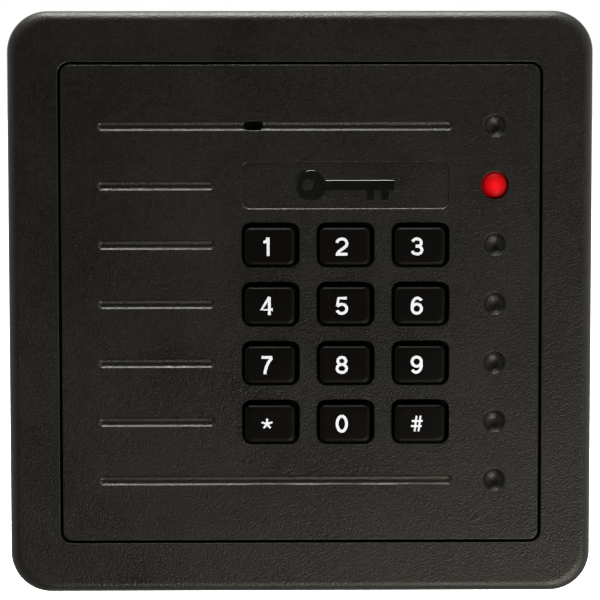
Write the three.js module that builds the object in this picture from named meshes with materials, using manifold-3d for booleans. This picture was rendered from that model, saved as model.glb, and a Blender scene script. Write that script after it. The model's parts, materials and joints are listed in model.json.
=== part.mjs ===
// A square keypad access reader for a wall: a dark bezel round a face panel with twelve keys,
// a status light, a sounder slot and moulded grooves, over two circuit boards, an antenna coil and
// a plate that is screwed to a single wall box.
//
// Every piece is modelled as the reader lies on its back, in mm: x runs to the right, y runs up the
// wall and z runs out of the wall, with z = 0 at the wall. The last lines stand the reader up, so that
// the finished part has +Z up, its face towards -Y and the wall at y = 0.
import * as THREE from "three";
import { mergeVertices } from "three/addons/utils/BufferGeometryUtils.js";
import Module from "manifold-3d";

const wasm = await Module();
wasm.setup();

// ---- Bezel, the outer shell ----
const BEZEL_WIDTH = 127;
const BEZEL_HEIGHT = 127;
const BEZEL_DEPTH = 25.4; // from the wall to the front face
const BEZEL_CORNER_RADIUS = 8.8;
const BEZEL_FRONT_ROUND = 2.3;
const BEZEL_SIDE_WALL = 2.5;
const BEZEL_FRONT_WALL = 2.6;
const BEZEL_BAND = 10.95; // front face between the outside and the window
const RIM_SETBACK = 0.5; // the rim stops this short of the wall

// ---- Face panel ----
const SEAM = 0.6; // open seam between the bezel's window and the panel
const PANEL_CORNER_RADIUS = 2;
const PANEL_EDGE_ROUND = 0.35;
const PANEL_WALL = 2.4;
const PANEL_SKIRT_WALL = 2.4;
const FLANGE_REACH = 2.2; // how far the flange runs behind the bezel, past its window
const FLANGE_THICKNESS = 1.6;
const GASKET_THICKNESS = 0.7;
const GASKET_WIDTH = 1.7;

// ---- Rows and columns on the face ----
const ROW_COUNT = 7;
const LIGHT_COLUMN_INSET = 9.7; // from the panel's right edge to the column of dimples
const LIGHT_ROW = 1; // counted from 0 at the top
const FIRST_KEY_ROW = 2;

// ---- Marks moulded into the face ----
const GROOVE_WIDTH = 2.1;
const GROOVE_DEPTH = 0.6;
const GROOVE_LEFT_INSET = 7.8;
const GROOVE_TO_KEYS = 5.9; // from a short groove's end to the first key hole
const GROOVE_PAST_KEYS = 1; // how far a long groove runs past the last key hole
const DIMPLE_DIAMETER = 4.9;
const DIMPLE_DEPTH = 1.5;
const BADGE_HEIGHT = 10.1;
const BADGE_DEPTH = 0.3;
const BADGE_CORNER_RADIUS = 1.5;
const SOUND_SLOT_WIDTH = 4.4;
const SOUND_SLOT_HEIGHT = 1.95;
const SOUND_SLOT_FROM_KEYS = 3.7; // left of the first column of keys

// ---- Keys ----
const KEY_NAMES = ["key_1", "key_2", "key_3", "key_4", "key_5", "key_6", "key_7", "key_8", "key_9"];
KEY_NAMES.push("key_star", "key_0", "key_hash");
const KEY_COLUMNS = 3;
const KEY_WIDTH = 11;
const KEY_HEIGHT = 8.2;
const KEY_COLUMN_GAP = 5.3; // between two caps side by side
const KEY_ROW_GAP = 4.7; // between two caps one above the other
const COLUMN_PITCH = KEY_WIDTH + KEY_COLUMN_GAP;
const ROW_PITCH = KEY_HEIGHT + KEY_ROW_GAP;
const LIGHT_TO_KEYS = KEY_WIDTH / 2 + 10.65; // from the column of dimples to the last keys' middle
const KEY_CORNER_RADIUS = 1.3;
const KEY_EDGE_ROUND = 0.6;
const KEY_PROTRUSION = 1.6; // above the panel
const KEY_HOLE_CLEARANCE = 0.65;
const KEY_SETTLE_DOWN = 0.3; // the caps rest low in their holes
const KEY_SETTLE_LEFT = 0.2;
const KEY_FLANGE_REACH = 1; // past the hole
const KEY_FLANGE_THICKNESS = 1.1;
const KEY_STEM_DIAMETER = 4;
const KEY_STEM_LENGTH = 0.7;
const KEY_TRAVEL = 1;

// ---- Rubber mat under the keys ----
const MAT_THICKNESS = 1;
const MAT_MARGIN = 3; // past the outermost key holes
const MAT_CORNER_RADIUS = 2;
const DOME_BASE_DIAMETER = 7.6;
const DOME_TOP_DIAMETER = 5;
const DOME_WALL = 0.8;
const DOME_FOLDED_HEIGHT = 1; // what is left of a dome under a pressed key

// ---- Boards and what they carry ----
const BOARD_THICKNESS = 1.6;
const KEYPAD_BOARD_MARGIN = 1; // inside the panel's skirt
const BOARD_CORNER_RADIUS = 3;
const READER_BOARD_WIDTH = 82;
const READER_BOARD_HEIGHT = 82;
const READER_SCREW_INSET = 4;
const LIGHT_DIAMETER = 5.2;
const LIGHT_RIM_DIAMETER = 5.9;
const LIGHT_RIM_THICKNESS = 1;
const LIGHT_PROTRUSION = 0.9; // above the panel
const LIGHT_LEG = 0.5;
const LIGHT_LEG_SPACING = 2.54;
const LIGHT_LEG_HOLE = 1.5;
const LIGHT_LEG_LENGTH = 0.8; // past the back of the board
const SOUNDER_DIAMETER = 12;
const SOUNDER_PORT_DIAMETER = 2.2;
const SOUNDER_PORT_DEPTH = 1.5;
const SOUNDER_GAP = 0.7; // behind the panel's wall
const COIL_WIDTH = 3.2;
const COIL_THICKNESS = 3;
const COIL_CORNER_RADIUS = 7;
const FORMER_WALL = 1.2;
const FORMER_CLEARANCE = 0.8; // inside the housing
const CHIP_HEIGHT = 1.4;
const CHIP_CORNER_RADIUS = 0.4;
const MICROCONTROLLER_SIDE = 12;
const READER_CHIP_SIDE = 9;
const CRYSTAL_LENGTH = 11;
const CRYSTAL_WIDTH = 4.6;
const CRYSTAL_HEIGHT = 3.5;
const CAPACITOR_DIAMETER = 6.3;
const CAPACITOR_HEIGHT = 4.4;
const CAPACITOR_BASE = 6.6;
const CAPACITOR_BASE_HEIGHT = 0.8;
const REGULATOR_WIDTH = 6.5;
const REGULATOR_HEIGHT = 2.3;
const LINK_WIDTH = 13;
const LINK_HEIGHT = 5;
const LINK_HEADER_DEPTH = 2.4;
const LINK_SETBACK = 28; // left of the reader's centre
const CABLE_SOCKET_WIDTH = 24;
const CABLE_SOCKET_HEIGHT = 6;
const CABLE_SOCKET_DEPTH = 3.4;
const CABLE_SOCKET_WALL = 1;
const TAMPER_SENSOR_WIDTH = 4.2;
const TAMPER_SENSOR_DEPTH = 1.8;
const TAMPER_WINDOW_MARGIN = 1;
const TAMPER_DROP = 21; // below the reader's centre

// ---- Rear housing ----
const HOUSING_WALL = 2;
const HOUSING_BACK = 1.8;
const HOUSING_CORNER_RADIUS = 6;
const HOUSING_CLEARANCE = 0.8; // round the housing's back plate, inside the bezel
const STANDOFF_HEIGHT = 1.3;
const STANDOFF_DIAMETER = 6.4;
const STANDOFF_FLOOR = 0.6; // left behind each screw hole
const HOUSING_WINDOW_MARGIN = 3; // round the cable socket

// ---- Wall plate ----
const PLATE_THICKNESS = 2.2;
const PLATE_CLEARANCE = 1.2; // inside the bezel
const PLATE_CORNER_RADIUS = 5;
const CABLE_SPACE = 3; // between the plate and the housing
const BOX_SCREW_SPACING = 83.3; // a single wall box
const BOX_SCREW_SLOT_WIDTH = 4.4;
const BOX_SCREW_SLOT_LENGTH = 9;
const CABLE_HOLE_WIDTH = 30;
const CABLE_HOLE_HEIGHT = 18;
const CABLE_HOLE_RISE = 21; // above the plate's centre, clear of the centre itself
const CABLE_HOLE_CORNER_RADIUS = 3;
const HOOK_WIDTH = 12;
const HOOK_SPACING = 70;
const HOOK_THICKNESS = 1.6;
const HOOK_LIP = 1; // the reader is lifted by this much to come off its hooks
const HOOK_LIP_DEPTH = 1.6;
const HOOK_STRIP = 1.1; // left on the housing's back plate above each hook
const LUG_WIDTH = 12;
const LUG_THICKNESS = 3;
const LUG_DEPTH = 12; // out from the plate
const LUG_INSET = 0.5; // from the plate's bottom edge
const LUG_NOTCH_MARGIN = 1;

// ---- Screws ----
const SCREW_SHANK_DIAMETER = 2.4;
const SCREW_HEAD_DIAMETER = 4.4;
const SCREW_HEAD_HEIGHT = 1.5;
const BOSS_DIAMETER = 6;
const BOSS_MARGIN = 1.6; // from the panel's skirt to its screw bosses
const CORNER_BOSS_MARGIN = 0.9; // from the bezel's side walls to its corner bosses
const BOSS_WEB = 2; // rib that ties a corner boss to the side wall
const HOUSING_SCREW_LENGTH = 9;
const KEYPAD_SCREW_LENGTH = 5.5;
const READER_SCREW_LENGTH = 3.8;
const SECURITY_SCREW_HEAD_DIAMETER = 5.4;
const SECURITY_SCREW_HEAD_HEIGHT = 1.2;
const SECURITY_SCREW_SHANK_DIAMETER = 2.9;
const SECURITY_SCREW_LENGTH = 5.6;
const RECESS_DIAMETER = 2.2;
const RECESS_DEPTH = 0.9;

// ---- Fits ----
const CLEAR = 0.3; // left between two pieces that touch
const LARGE_RADIUS = 4; // outline corners above this radius take more chords
const LARGE_ARC_STEPS = 3; // pairs of chords in a quarter circle
const SMALL_ARC_STEPS = 1.5;
const ROUND_STEPS = 14; // chords in a full circle
const SCREW_STEPS = 10;
const OVERRUN = 1; // how far a cutting shape runs past the face that it cuts

// ---- Sizes that follow from the ones above ----
const panelWidth = BEZEL_WIDTH - 2 * (BEZEL_BAND + SEAM);
const panelHeight = BEZEL_HEIGHT - 2 * (BEZEL_BAND + SEAM);
const panelBackZ = BEZEL_DEPTH - PANEL_WALL; // the back of the panel's front wall
const bezelBackZ = BEZEL_DEPTH - BEZEL_FRONT_WALL; // the back of the bezel's front wall
const gasketZ = bezelBackZ - CLEAR - GASKET_THICKNESS;
const flangeTopZ = gasketZ - CLEAR;
const flangeZ = flangeTopZ - FLANGE_THICKNESS;
const flangeWidth = panelWidth + 2 * (SEAM + FLANGE_REACH);
const flangeHeight = panelHeight + 2 * (SEAM + FLANGE_REACH);

const keyFlangeTopZ = panelBackZ - CLEAR;
const keyFlangeZ = keyFlangeTopZ - KEY_FLANGE_THICKNESS;
const keyStemZ = keyFlangeZ - KEY_STEM_LENGTH;
const domeTopZ = keyStemZ - CLEAR;
const matTopZ = domeTopZ - KEY_TRAVEL - DOME_FOLDED_HEIGHT;
const matZ = matTopZ - MAT_THICKNESS;
const keypadBoardTopZ = matZ - CLEAR;
const keypadBoardZ = keypadBoardTopZ - BOARD_THICKNESS;

const housingZ = PLATE_THICKNESS + CABLE_SPACE;
const housingFloorZ = housingZ + HOUSING_BACK;
const housingRimZ = flangeZ - CLEAR;
const standoffZ = housingFloorZ + STANDOFF_HEIGHT;
const readerBoardZ = standoffZ + CLEAR;
const readerBoardTopZ = readerBoardZ + BOARD_THICKNESS;

const bezelInnerWidth = BEZEL_WIDTH - 2 * BEZEL_SIDE_WALL;
const bezelInnerHeight = BEZEL_HEIGHT - 2 * BEZEL_SIDE_WALL;
const bezelInnerRadius = BEZEL_CORNER_RADIUS - BEZEL_SIDE_WALL;
const housingBackWidth = bezelInnerWidth - 2 * HOUSING_CLEARANCE;
const housingBackHeight = bezelInnerHeight - 2 * HOUSING_CLEARANCE;
const plateWidth = bezelInnerWidth - 2 * PLATE_CLEARANCE;
const plateHeight = bezelInnerHeight - 2 * PLATE_CLEARANCE;
const housingInnerWidth = flangeWidth - 2 * HOUSING_WALL;
const housingInnerHeight = flangeHeight - 2 * HOUSING_WALL;
const bezelBossX = bezelInnerWidth / 2 - BOSS_DIAMETER / 2 - CORNER_BOSS_MARGIN;
const bezelBossY = bezelInnerHeight / 2 - BOSS_DIAMETER / 2 - CORNER_BOSS_MARGIN;
const screwHoleDiameter = SCREW_SHANK_DIAMETER + 2 * CLEAR;

const lightColumnX = panelWidth / 2 - LIGHT_COLUMN_INSET;
const lastKeyX = lightColumnX - LIGHT_TO_KEYS;
const firstKeyX = lastKeyX - (KEY_COLUMNS - 1) * COLUMN_PITCH;
const keyHoleWidth = KEY_WIDTH + 2 * KEY_HOLE_CLEARANCE;
const keyHoleHeight = KEY_HEIGHT + 2 * KEY_HOLE_CLEARANCE;
const keyHoleRadius = KEY_CORNER_RADIUS + KEY_HOLE_CLEARANCE;
const keysLeftX = firstKeyX - keyHoleWidth / 2;
const keysRightX = lastKeyX + keyHoleWidth / 2;
const keyRowCount = KEY_NAMES.length / KEY_COLUMNS;
const grooveLeftX = -panelWidth / 2 + GROOVE_LEFT_INSET;
const soundSlotX = firstKeyX - SOUND_SLOT_FROM_KEYS;

const hookSlotTopY = housingBackHeight / 2 - HOOK_STRIP;
const hookTopY = hookSlotTopY - CLEAR;
const hookBottomY = hookTopY - HOOK_THICKNESS;
const hookSlotBottomY = hookBottomY - HOOK_LIP - CLEAR;
const lugBottomY = -plateHeight / 2 + LUG_INSET;
const lugTopY = lugBottomY + LUG_THICKNESS;
const securityScrewZ = PLATE_THICKNESS + LUG_DEPTH / 2;
const securitySeatY = -BEZEL_HEIGHT / 2 + SECURITY_SCREW_HEAD_HEIGHT + 2 * CLEAR;

// ---- Working with solids ----

// A closed three.js geometry as a solid that can be joined and cut.
function solidOf(geometry) {
  const bare = geometry.clone();
  bare.deleteAttribute("normal");
  bare.deleteAttribute("uv");
  const welded = mergeVertices(bare, 1e-4);
  return new wasm.Manifold(
    new wasm.Mesh({
      numProp: 3,
      vertProperties: welded.attributes.position.array,
      triVerts: new Uint32Array(welded.index.array),
    }),
  );
}

// A solid as a three.js geometry, with its normals worked out face by face.
function geometryOf(solid) {
  const mesh = solid.getMesh();
  const geometry = new THREE.BufferGeometry();
  geometry.setAttribute("position", new THREE.BufferAttribute(new Float32Array(mesh.vertProperties), 3));
  geometry.setIndex(new THREE.BufferAttribute(new Uint32Array(mesh.triVerts), 1));
  const faceted = geometry.toNonIndexed();
  faceted.computeVertexNormals();
  return faceted;
}

// One solid joined to others, less the ones to cut away.
function carve(joined, cuts = []) {
  let result = solidOf(joined[0]);
  for (const more of joined.slice(1)) {
    result = result.add(solidOf(more));
  }
  for (const cut of cuts) {
    result = result.subtract(solidOf(cut));
  }
  return geometryOf(result);
}

// The outline of a rectangle with round corners, about its own centre.
function roundedRectangle(width, height, radius) {
  const r = Math.max(0.05, Math.min(radius, width / 2 - 0.05, height / 2 - 0.05));
  const x = width / 2 - r;
  const y = height / 2 - r;
  const shape = new THREE.Shape();
  shape.absarc(x, y, r, 0, Math.PI / 2, false);
  shape.absarc(-x, y, r, Math.PI / 2, Math.PI, false);
  shape.absarc(-x, -y, r, Math.PI, Math.PI * 1.5, false);
  shape.absarc(x, -y, r, Math.PI * 1.5, Math.PI * 2, false);
  shape.closePath();
  return shape;
}

function arcSteps(radius) {
  return radius > LARGE_RADIUS ? LARGE_ARC_STEPS : SMALL_ARC_STEPS;
}

// A flat block with round corners, between two heights.
function block(width, height, radius, bottomZ, topZ, x = 0, y = 0) {
  const geometry = new THREE.ExtrudeGeometry(roundedRectangle(width, height, radius), {
    depth: topZ - bottomZ,
    bevelEnabled: false,
    curveSegments: arcSteps(radius),
  });
  return geometry.translate(x, y, bottomZ);
}

// A block whose front edge is rounded over all the way round.
function pillow(width, height, radius, bottomZ, topZ, round, steps) {
  const shape = roundedRectangle(width - 2 * round, height - 2 * round, radius - round);
  const geometry = new THREE.ExtrudeGeometry(shape, {
    depth: topZ - bottomZ,
    bevelEnabled: true,
    bevelThickness: round,
    bevelSize: round,
    bevelSegments: steps,
    curveSegments: arcSteps(radius),
  });
  geometry.translate(0, 0, bottomZ - round);
  const backEdge = new THREE.BoxGeometry(width * 2, height * 2, 4 * round);
  backEdge.translate(0, 0, bottomZ - 2 * round);
  return carve([geometry], [backEdge]);
}

// An upright box between two heights.
function box(width, height, bottomZ, topZ, x = 0, y = 0) {
  const geometry = new THREE.BoxGeometry(width, height, topZ - bottomZ);
  return geometry.translate(x, y, (bottomZ + topZ) / 2);
}

// A round post or hole along z between two heights; topDiameter makes it a cone.
function post(diameter, bottomZ, topZ, x = 0, y = 0, topDiameter = diameter) {
  const height = topZ - bottomZ;
  const geometry = new THREE.CylinderGeometry(topDiameter / 2, diameter / 2, height, ROUND_STEPS);
  geometry.rotateX(Math.PI / 2);
  return geometry.translate(x, y, (bottomZ + topZ) / 2);
}

// A round hole along y, up the wall, on the reader's centre line.
function uprightPost(diameter, bottomY, topY, z) {
  const height = topY - bottomY;
  const geometry = new THREE.CylinderGeometry(diameter / 2, diameter / 2, height, ROUND_STEPS);
  return geometry.translate(0, (bottomY + topY) / 2, z);
}

// The four corners of a rectangle that is centred on the reader.
function corners(x, y) {
  return [[-x, y], [x, y], [-x, -y], [x, -y]];
}

// ---- Places on the face ----

function rowY(row) {
  return ((ROW_COUNT - 1) / 2 - row) * ROW_PITCH;
}

function keyPlace(index) {
  const x = firstKeyX + (index % KEY_COLUMNS) * COLUMN_PITCH;
  const y = rowY(FIRST_KEY_ROW + Math.floor(index / KEY_COLUMNS));
  return [x, y];
}

// ---- Materials ----

function plastic(color, roughness) {
  return new THREE.MeshStandardMaterial({ color, roughness, metalness: 0 });
}

function metal(color, roughness) {
  return new THREE.MeshStandardMaterial({ color, roughness, metalness: 1 });
}

const charcoalPlastic = () => plastic(0x26241f, 0.55);
const keyPlastic = () => plastic(0x0c0b0a, 0.4);
const blackPlastic = () => plastic(0x111111, 0.5);
const redLens = () => plastic(0xd01525, 0.15);
const greyRubber = () => plastic(0x6a6c6e, 0.8);
const blackRubber = () => plastic(0x18181a, 0.85);
const circuitBoard = () => plastic(0x1d5a33, 0.5);
const copper = () => metal(0xb5673a, 0.35);
const zincPlate = () => metal(0xa9adb1, 0.4);

const lying = new THREE.Group();

// One named piece. turnX, in radians, turns it about its own x before it is placed.
function add(name, geometry, material, x = 0, y = 0, z = 0, turnX = 0) {
  const mesh = new THREE.Mesh(geometry, material);
  mesh.name = name;
  mesh.position.set(x, y, z);
  mesh.rotation.x = turnX;
  lying.add(mesh);
}

// ---- Screws ----

// A pan-head screw that stands on its tip: its shank runs up z from 0 and its head sits on top.
function screwGeometry(headDiameter, headHeight, shankDiameter, shankLength) {
  const top = shankLength + headHeight;
  const profile = [
    new THREE.Vector2(0, 0),
    new THREE.Vector2(shankDiameter * 0.32, 0),
    new THREE.Vector2(shankDiameter / 2, shankDiameter * 0.3),
    new THREE.Vector2(shankDiameter / 2, shankLength),
    new THREE.Vector2(headDiameter / 2, shankLength),
    new THREE.Vector2(headDiameter / 2, top - headHeight * 0.35),
    new THREE.Vector2(headDiameter * 0.36, top),
    new THREE.Vector2(0, top),
  ];
  const body = new THREE.LatheGeometry(profile, SCREW_STEPS);
  body.rotateX(Math.PI / 2);
  const recess = new THREE.CylinderGeometry(RECESS_DIAMETER / 2, RECESS_DIAMETER / 2, 2 * RECESS_DEPTH, 6);
  recess.rotateX(Math.PI / 2);
  recess.translate(0, 0, top);
  return carve([body], [recess]);
}

// ---- Bezel ----

function bezelGeometry() {
  const outside = pillow(
    BEZEL_WIDTH,
    BEZEL_HEIGHT,
    BEZEL_CORNER_RADIUS,
    RIM_SETBACK,
    BEZEL_DEPTH,
    BEZEL_FRONT_ROUND,
    4,
  );
  const cavity = block(bezelInnerWidth, bezelInnerHeight, bezelInnerRadius, -OVERRUN, bezelBackZ);
  const window = block(
    panelWidth + 2 * SEAM,
    panelHeight + 2 * SEAM,
    PANEL_CORNER_RADIUS + SEAM,
    0,
    BEZEL_DEPTH + OVERRUN,
  );
  const shell = carve([outside], [cavity, window]);

  const bosses = [];
  const holes = [];
  const bossZ = housingFloorZ + CLEAR;
  const holeTopZ = housingZ - CLEAR + HOUSING_SCREW_LENGTH + OVERRUN;
  for (const [x, y] of corners(bezelBossX, bezelBossY)) {
    const webLength = bezelInnerWidth / 2 + OVERRUN - bezelBossX;
    const webX = x + (Math.sign(x) * webLength) / 2;
    bosses.push(post(BOSS_DIAMETER, bossZ, bezelBackZ + OVERRUN, x, y));
    bosses.push(box(webLength, BOSS_WEB, bossZ, bezelBackZ + OVERRUN, webX, y));
    holes.push(post(screwHoleDiameter, bossZ - OVERRUN, holeTopZ, x, y));
  }

  const headHole = uprightPost(
    SECURITY_SCREW_HEAD_DIAMETER + 2 * CLEAR,
    -BEZEL_HEIGHT / 2 - OVERRUN,
    securitySeatY,
    securityScrewZ,
  );
  const shankHole = uprightPost(
    SECURITY_SCREW_SHANK_DIAMETER + 2 * CLEAR,
    -BEZEL_HEIGHT / 2 - OVERRUN,
    -bezelInnerHeight / 2 + OVERRUN,
    securityScrewZ,
  );
  return carve([shell, ...bosses], [...holes, headHole, shankHole]);
}

add("front_bezel", bezelGeometry(), charcoalPlastic());

// ---- Face panel ----

// A round-ended groove that lies along x, sunk into the face.
function grooveCut(leftX, rightX, y) {
  const halfWidth = GROOVE_WIDTH / 2;
  const radius = (halfWidth * halfWidth + GROOVE_DEPTH * GROOVE_DEPTH) / (2 * GROOVE_DEPTH);
  const length = Math.max(0.1, rightX - leftX - GROOVE_WIDTH);
  const rod = new THREE.CapsuleGeometry(radius, length, 4, 16);
  rod.rotateZ(Math.PI / 2);
  rod.translate((leftX + rightX) / 2, y, BEZEL_DEPTH + radius - GROOVE_DEPTH);
  return rod;
}

// A round hollow, part of a ball, sunk into the face.
function dimpleCut(x, y) {
  const halfWidth = DIMPLE_DIAMETER / 2;
  const radius = (halfWidth * halfWidth + DIMPLE_DEPTH * DIMPLE_DEPTH) / (2 * DIMPLE_DEPTH);
  const ball = new THREE.SphereGeometry(radius, ROUND_STEPS, 14);
  ball.rotateX(Math.PI / 2);
  return ball.translate(x, y, BEZEL_DEPTH + radius - DIMPLE_DEPTH);
}

const keypadBossX = panelWidth / 2 - PANEL_SKIRT_WALL - BOSS_MARGIN - BOSS_DIAMETER / 2;
const keypadBossY = panelHeight / 2 - PANEL_SKIRT_WALL - BOSS_MARGIN - BOSS_DIAMETER / 2;
const lightY = rowY(LIGHT_ROW);

function panelGeometry() {
  const front = pillow(
    panelWidth,
    panelHeight,
    PANEL_CORNER_RADIUS,
    flangeZ,
    BEZEL_DEPTH,
    PANEL_EDGE_ROUND,
    2,
  );
  const flange = block(flangeWidth, flangeHeight, PANEL_CORNER_RADIUS + SEAM, flangeZ, flangeTopZ);
  const pocket = block(
    panelWidth - 2 * PANEL_SKIRT_WALL,
    panelHeight - 2 * PANEL_SKIRT_WALL,
    PANEL_CORNER_RADIUS,
    flangeZ - OVERRUN,
    panelBackZ,
  );
  const tray = carve([front, flange], [pocket]);

  const cutBottomZ = panelBackZ - OVERRUN;
  const cutTopZ = BEZEL_DEPTH + OVERRUN;
  const bosses = [];
  const cuts = [];
  for (const [x, y] of corners(keypadBossX, keypadBossY)) {
    bosses.push(post(BOSS_DIAMETER, keypadBoardTopZ + CLEAR, panelBackZ + OVERRUN, x, y));
    cuts.push(post(screwHoleDiameter, keypadBoardTopZ - OVERRUN, panelBackZ, x, y));
  }
  for (let key = 0; key < KEY_NAMES.length; key++) {
    const [x, y] = keyPlace(key);
    cuts.push(block(keyHoleWidth, keyHoleHeight, keyHoleRadius, cutBottomZ, cutTopZ, x, y));
  }
  for (let row = 0; row < ROW_COUNT; row++) {
    const isLong = row === 0 || row === ROW_COUNT - 1;
    const rightX = isLong ? keysRightX + GROOVE_PAST_KEYS : keysLeftX - GROOVE_TO_KEYS;
    cuts.push(grooveCut(grooveLeftX, rightX, rowY(row)));
    if (row !== LIGHT_ROW) {
      cuts.push(dimpleCut(lightColumnX, rowY(row)));
    }
  }
  const lightHoleDiameter = LIGHT_DIAMETER + 2 * CLEAR;
  cuts.push(post(lightHoleDiameter, cutBottomZ, cutTopZ, lightColumnX, lightY));
  cuts.push(
    block(
      keysRightX - keysLeftX,
      BADGE_HEIGHT,
      BADGE_CORNER_RADIUS,
      BEZEL_DEPTH - BADGE_DEPTH,
      cutTopZ,
      (keysLeftX + keysRightX) / 2,
      lightY,
    ),
  );
  cuts.push(
    block(
      SOUND_SLOT_WIDTH,
      SOUND_SLOT_HEIGHT,
      SOUND_SLOT_HEIGHT / 2,
      cutBottomZ,
      cutTopZ,
      soundSlotX,
      rowY(0),
    ),
  );
  return carve([tray, ...bosses], cuts);
}

add("face_panel", panelGeometry(), charcoalPlastic());

const gasketOuter = block(
  flangeWidth,
  flangeHeight,
  PANEL_CORNER_RADIUS + SEAM,
  gasketZ,
  gasketZ + GASKET_THICKNESS,
);
const gasketInner = block(
  flangeWidth - 2 * GASKET_WIDTH,
  flangeHeight - 2 * GASKET_WIDTH,
  PANEL_CORNER_RADIUS,
  gasketZ - OVERRUN,
  gasketZ + GASKET_THICKNESS + OVERRUN,
);
add("panel_gasket", carve([gasketOuter], [gasketInner]), blackRubber());

// ---- Keys ----

const keyTopZ = BEZEL_DEPTH + KEY_PROTRUSION;

// A cap with a flange that keeps it behind the panel, and the stem that presses the mat.
function keyGeometry() {
  const cap = pillow(
    KEY_WIDTH,
    KEY_HEIGHT,
    KEY_CORNER_RADIUS,
    keyFlangeZ,
    keyTopZ,
    KEY_EDGE_ROUND,
    2,
  );
  const flange = block(
    keyHoleWidth + 2 * KEY_FLANGE_REACH,
    keyHoleHeight + 2 * KEY_FLANGE_REACH,
    keyHoleRadius,
    keyFlangeZ,
    keyFlangeTopZ,
    KEY_SETTLE_LEFT,
    KEY_SETTLE_DOWN,
  );
  const stem = post(KEY_STEM_DIAMETER, keyStemZ, keyFlangeTopZ, KEY_SETTLE_LEFT, KEY_SETTLE_DOWN);
  return carve([cap, flange, stem]);
}

KEY_NAMES.forEach((name, index) => {
  const [x, y] = keyPlace(index);
  add(name, keyGeometry(), keyPlastic(), x - KEY_SETTLE_LEFT, y - KEY_SETTLE_DOWN);
});

// ---- Rubber mat with a dome under each key ----

const keysMiddleX = (keysLeftX + keysRightX) / 2;
const keysMiddleY = (rowY(FIRST_KEY_ROW) + rowY(FIRST_KEY_ROW + keyRowCount - 1)) / 2;
const matWidth = keysRightX - keysLeftX + 2 * MAT_MARGIN;
const matHeight = (keyRowCount - 1) * ROW_PITCH + keyHoleHeight + 2 * MAT_MARGIN;

function matGeometry() {
  const sheet = block(matWidth, matHeight, MAT_CORNER_RADIUS, matZ, matTopZ, keysMiddleX, keysMiddleY);
  const domes = [];
  const hollows = [];
  for (let key = 0; key < KEY_NAMES.length; key++) {
    const [x, y] = keyPlace(key);
    domes.push(post(DOME_BASE_DIAMETER, matTopZ - MAT_THICKNESS / 2, domeTopZ, x, y, DOME_TOP_DIAMETER));
    const hollowTop = DOME_TOP_DIAMETER - 2 * DOME_WALL;
    const hollowBase = DOME_BASE_DIAMETER - 2 * DOME_WALL;
    hollows.push(post(hollowBase, matZ - OVERRUN, domeTopZ - DOME_WALL, x, y, hollowTop));
  }
  return carve([sheet, ...domes], hollows);
}

add("key_mat", matGeometry(), greyRubber());

// ---- Keypad board, with the light and the sounder on it ----

const keypadBoardWidth = panelWidth - 2 * (PANEL_SKIRT_WALL + KEYPAD_BOARD_MARGIN);
const keypadBoardHeight = panelHeight - 2 * (PANEL_SKIRT_WALL + KEYPAD_BOARD_MARGIN);
const lightLegXs = [lightColumnX - LIGHT_LEG_SPACING / 2, lightColumnX + LIGHT_LEG_SPACING / 2];

function keypadBoardGeometry() {
  const sheet = block(
    keypadBoardWidth,
    keypadBoardHeight,
    BOARD_CORNER_RADIUS,
    keypadBoardZ,
    keypadBoardTopZ,
  );
  const holes = [];
  for (const [x, y] of corners(keypadBossX, keypadBossY)) {
    holes.push(post(screwHoleDiameter, keypadBoardZ - OVERRUN, keypadBoardTopZ + OVERRUN, x, y));
  }
  for (const x of lightLegXs) {
    holes.push(post(LIGHT_LEG_HOLE, keypadBoardZ - OVERRUN, keypadBoardTopZ + OVERRUN, x, lightY));
  }
  return carve([sheet], holes);
}

add("keypad_board", keypadBoardGeometry(), circuitBoard());

// The light: a domed lens with a rim, and two legs that go through the board.
function lightGeometry() {
  const bottomZ = keypadBoardTopZ + CLEAR;
  const radius = LIGHT_DIAMETER / 2;
  const topZ = BEZEL_DEPTH + LIGHT_PROTRUSION;
  const profile = [
    new THREE.Vector2(0, bottomZ),
    new THREE.Vector2(LIGHT_RIM_DIAMETER / 2, bottomZ),
    new THREE.Vector2(LIGHT_RIM_DIAMETER / 2, bottomZ + LIGHT_RIM_THICKNESS),
    new THREE.Vector2(radius, bottomZ + LIGHT_RIM_THICKNESS),
  ];
  const domeSteps = 5;
  for (let step = 0; step <= domeSteps; step++) {
    const angle = (step / domeSteps) * (Math.PI / 2);
    profile.push(new THREE.Vector2(radius * Math.cos(angle), topZ - radius + radius * Math.sin(angle)));
  }
  profile[profile.length - 1].x = 0;
  const lens = new THREE.LatheGeometry(profile, ROUND_STEPS);
  lens.rotateX(Math.PI / 2);
  lens.translate(lightColumnX, lightY, 0);
  const legZ = keypadBoardZ - LIGHT_LEG_LENGTH;
  const legs = lightLegXs.map((x) => box(LIGHT_LEG, LIGHT_LEG, legZ, bottomZ + CLEAR, x, lightY));
  return carve([lens, ...legs]);
}

add("status_light", lightGeometry(), redLens());

const sounderBottomZ = keypadBoardTopZ + CLEAR;
const sounderTopZ = panelBackZ - SOUNDER_GAP;
const sounderCan = post(SOUNDER_DIAMETER, sounderBottomZ, sounderTopZ, soundSlotX, rowY(0));
const portZ = sounderTopZ - SOUNDER_PORT_DEPTH;
const sounderPort = post(SOUNDER_PORT_DIAMETER, portZ, sounderTopZ + OVERRUN, soundSlotX, rowY(0));
add("sounder", carve([sounderCan], [sounderPort]), blackPlastic());

// ---- Rear housing ----

const readerScrewX = READER_BOARD_WIDTH / 2 - READER_SCREW_INSET;
const readerScrewY = READER_BOARD_HEIGHT / 2 - READER_SCREW_INSET;
const hookXs = [-HOOK_SPACING / 2, HOOK_SPACING / 2];
const tamperY = -TAMPER_DROP;

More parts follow.
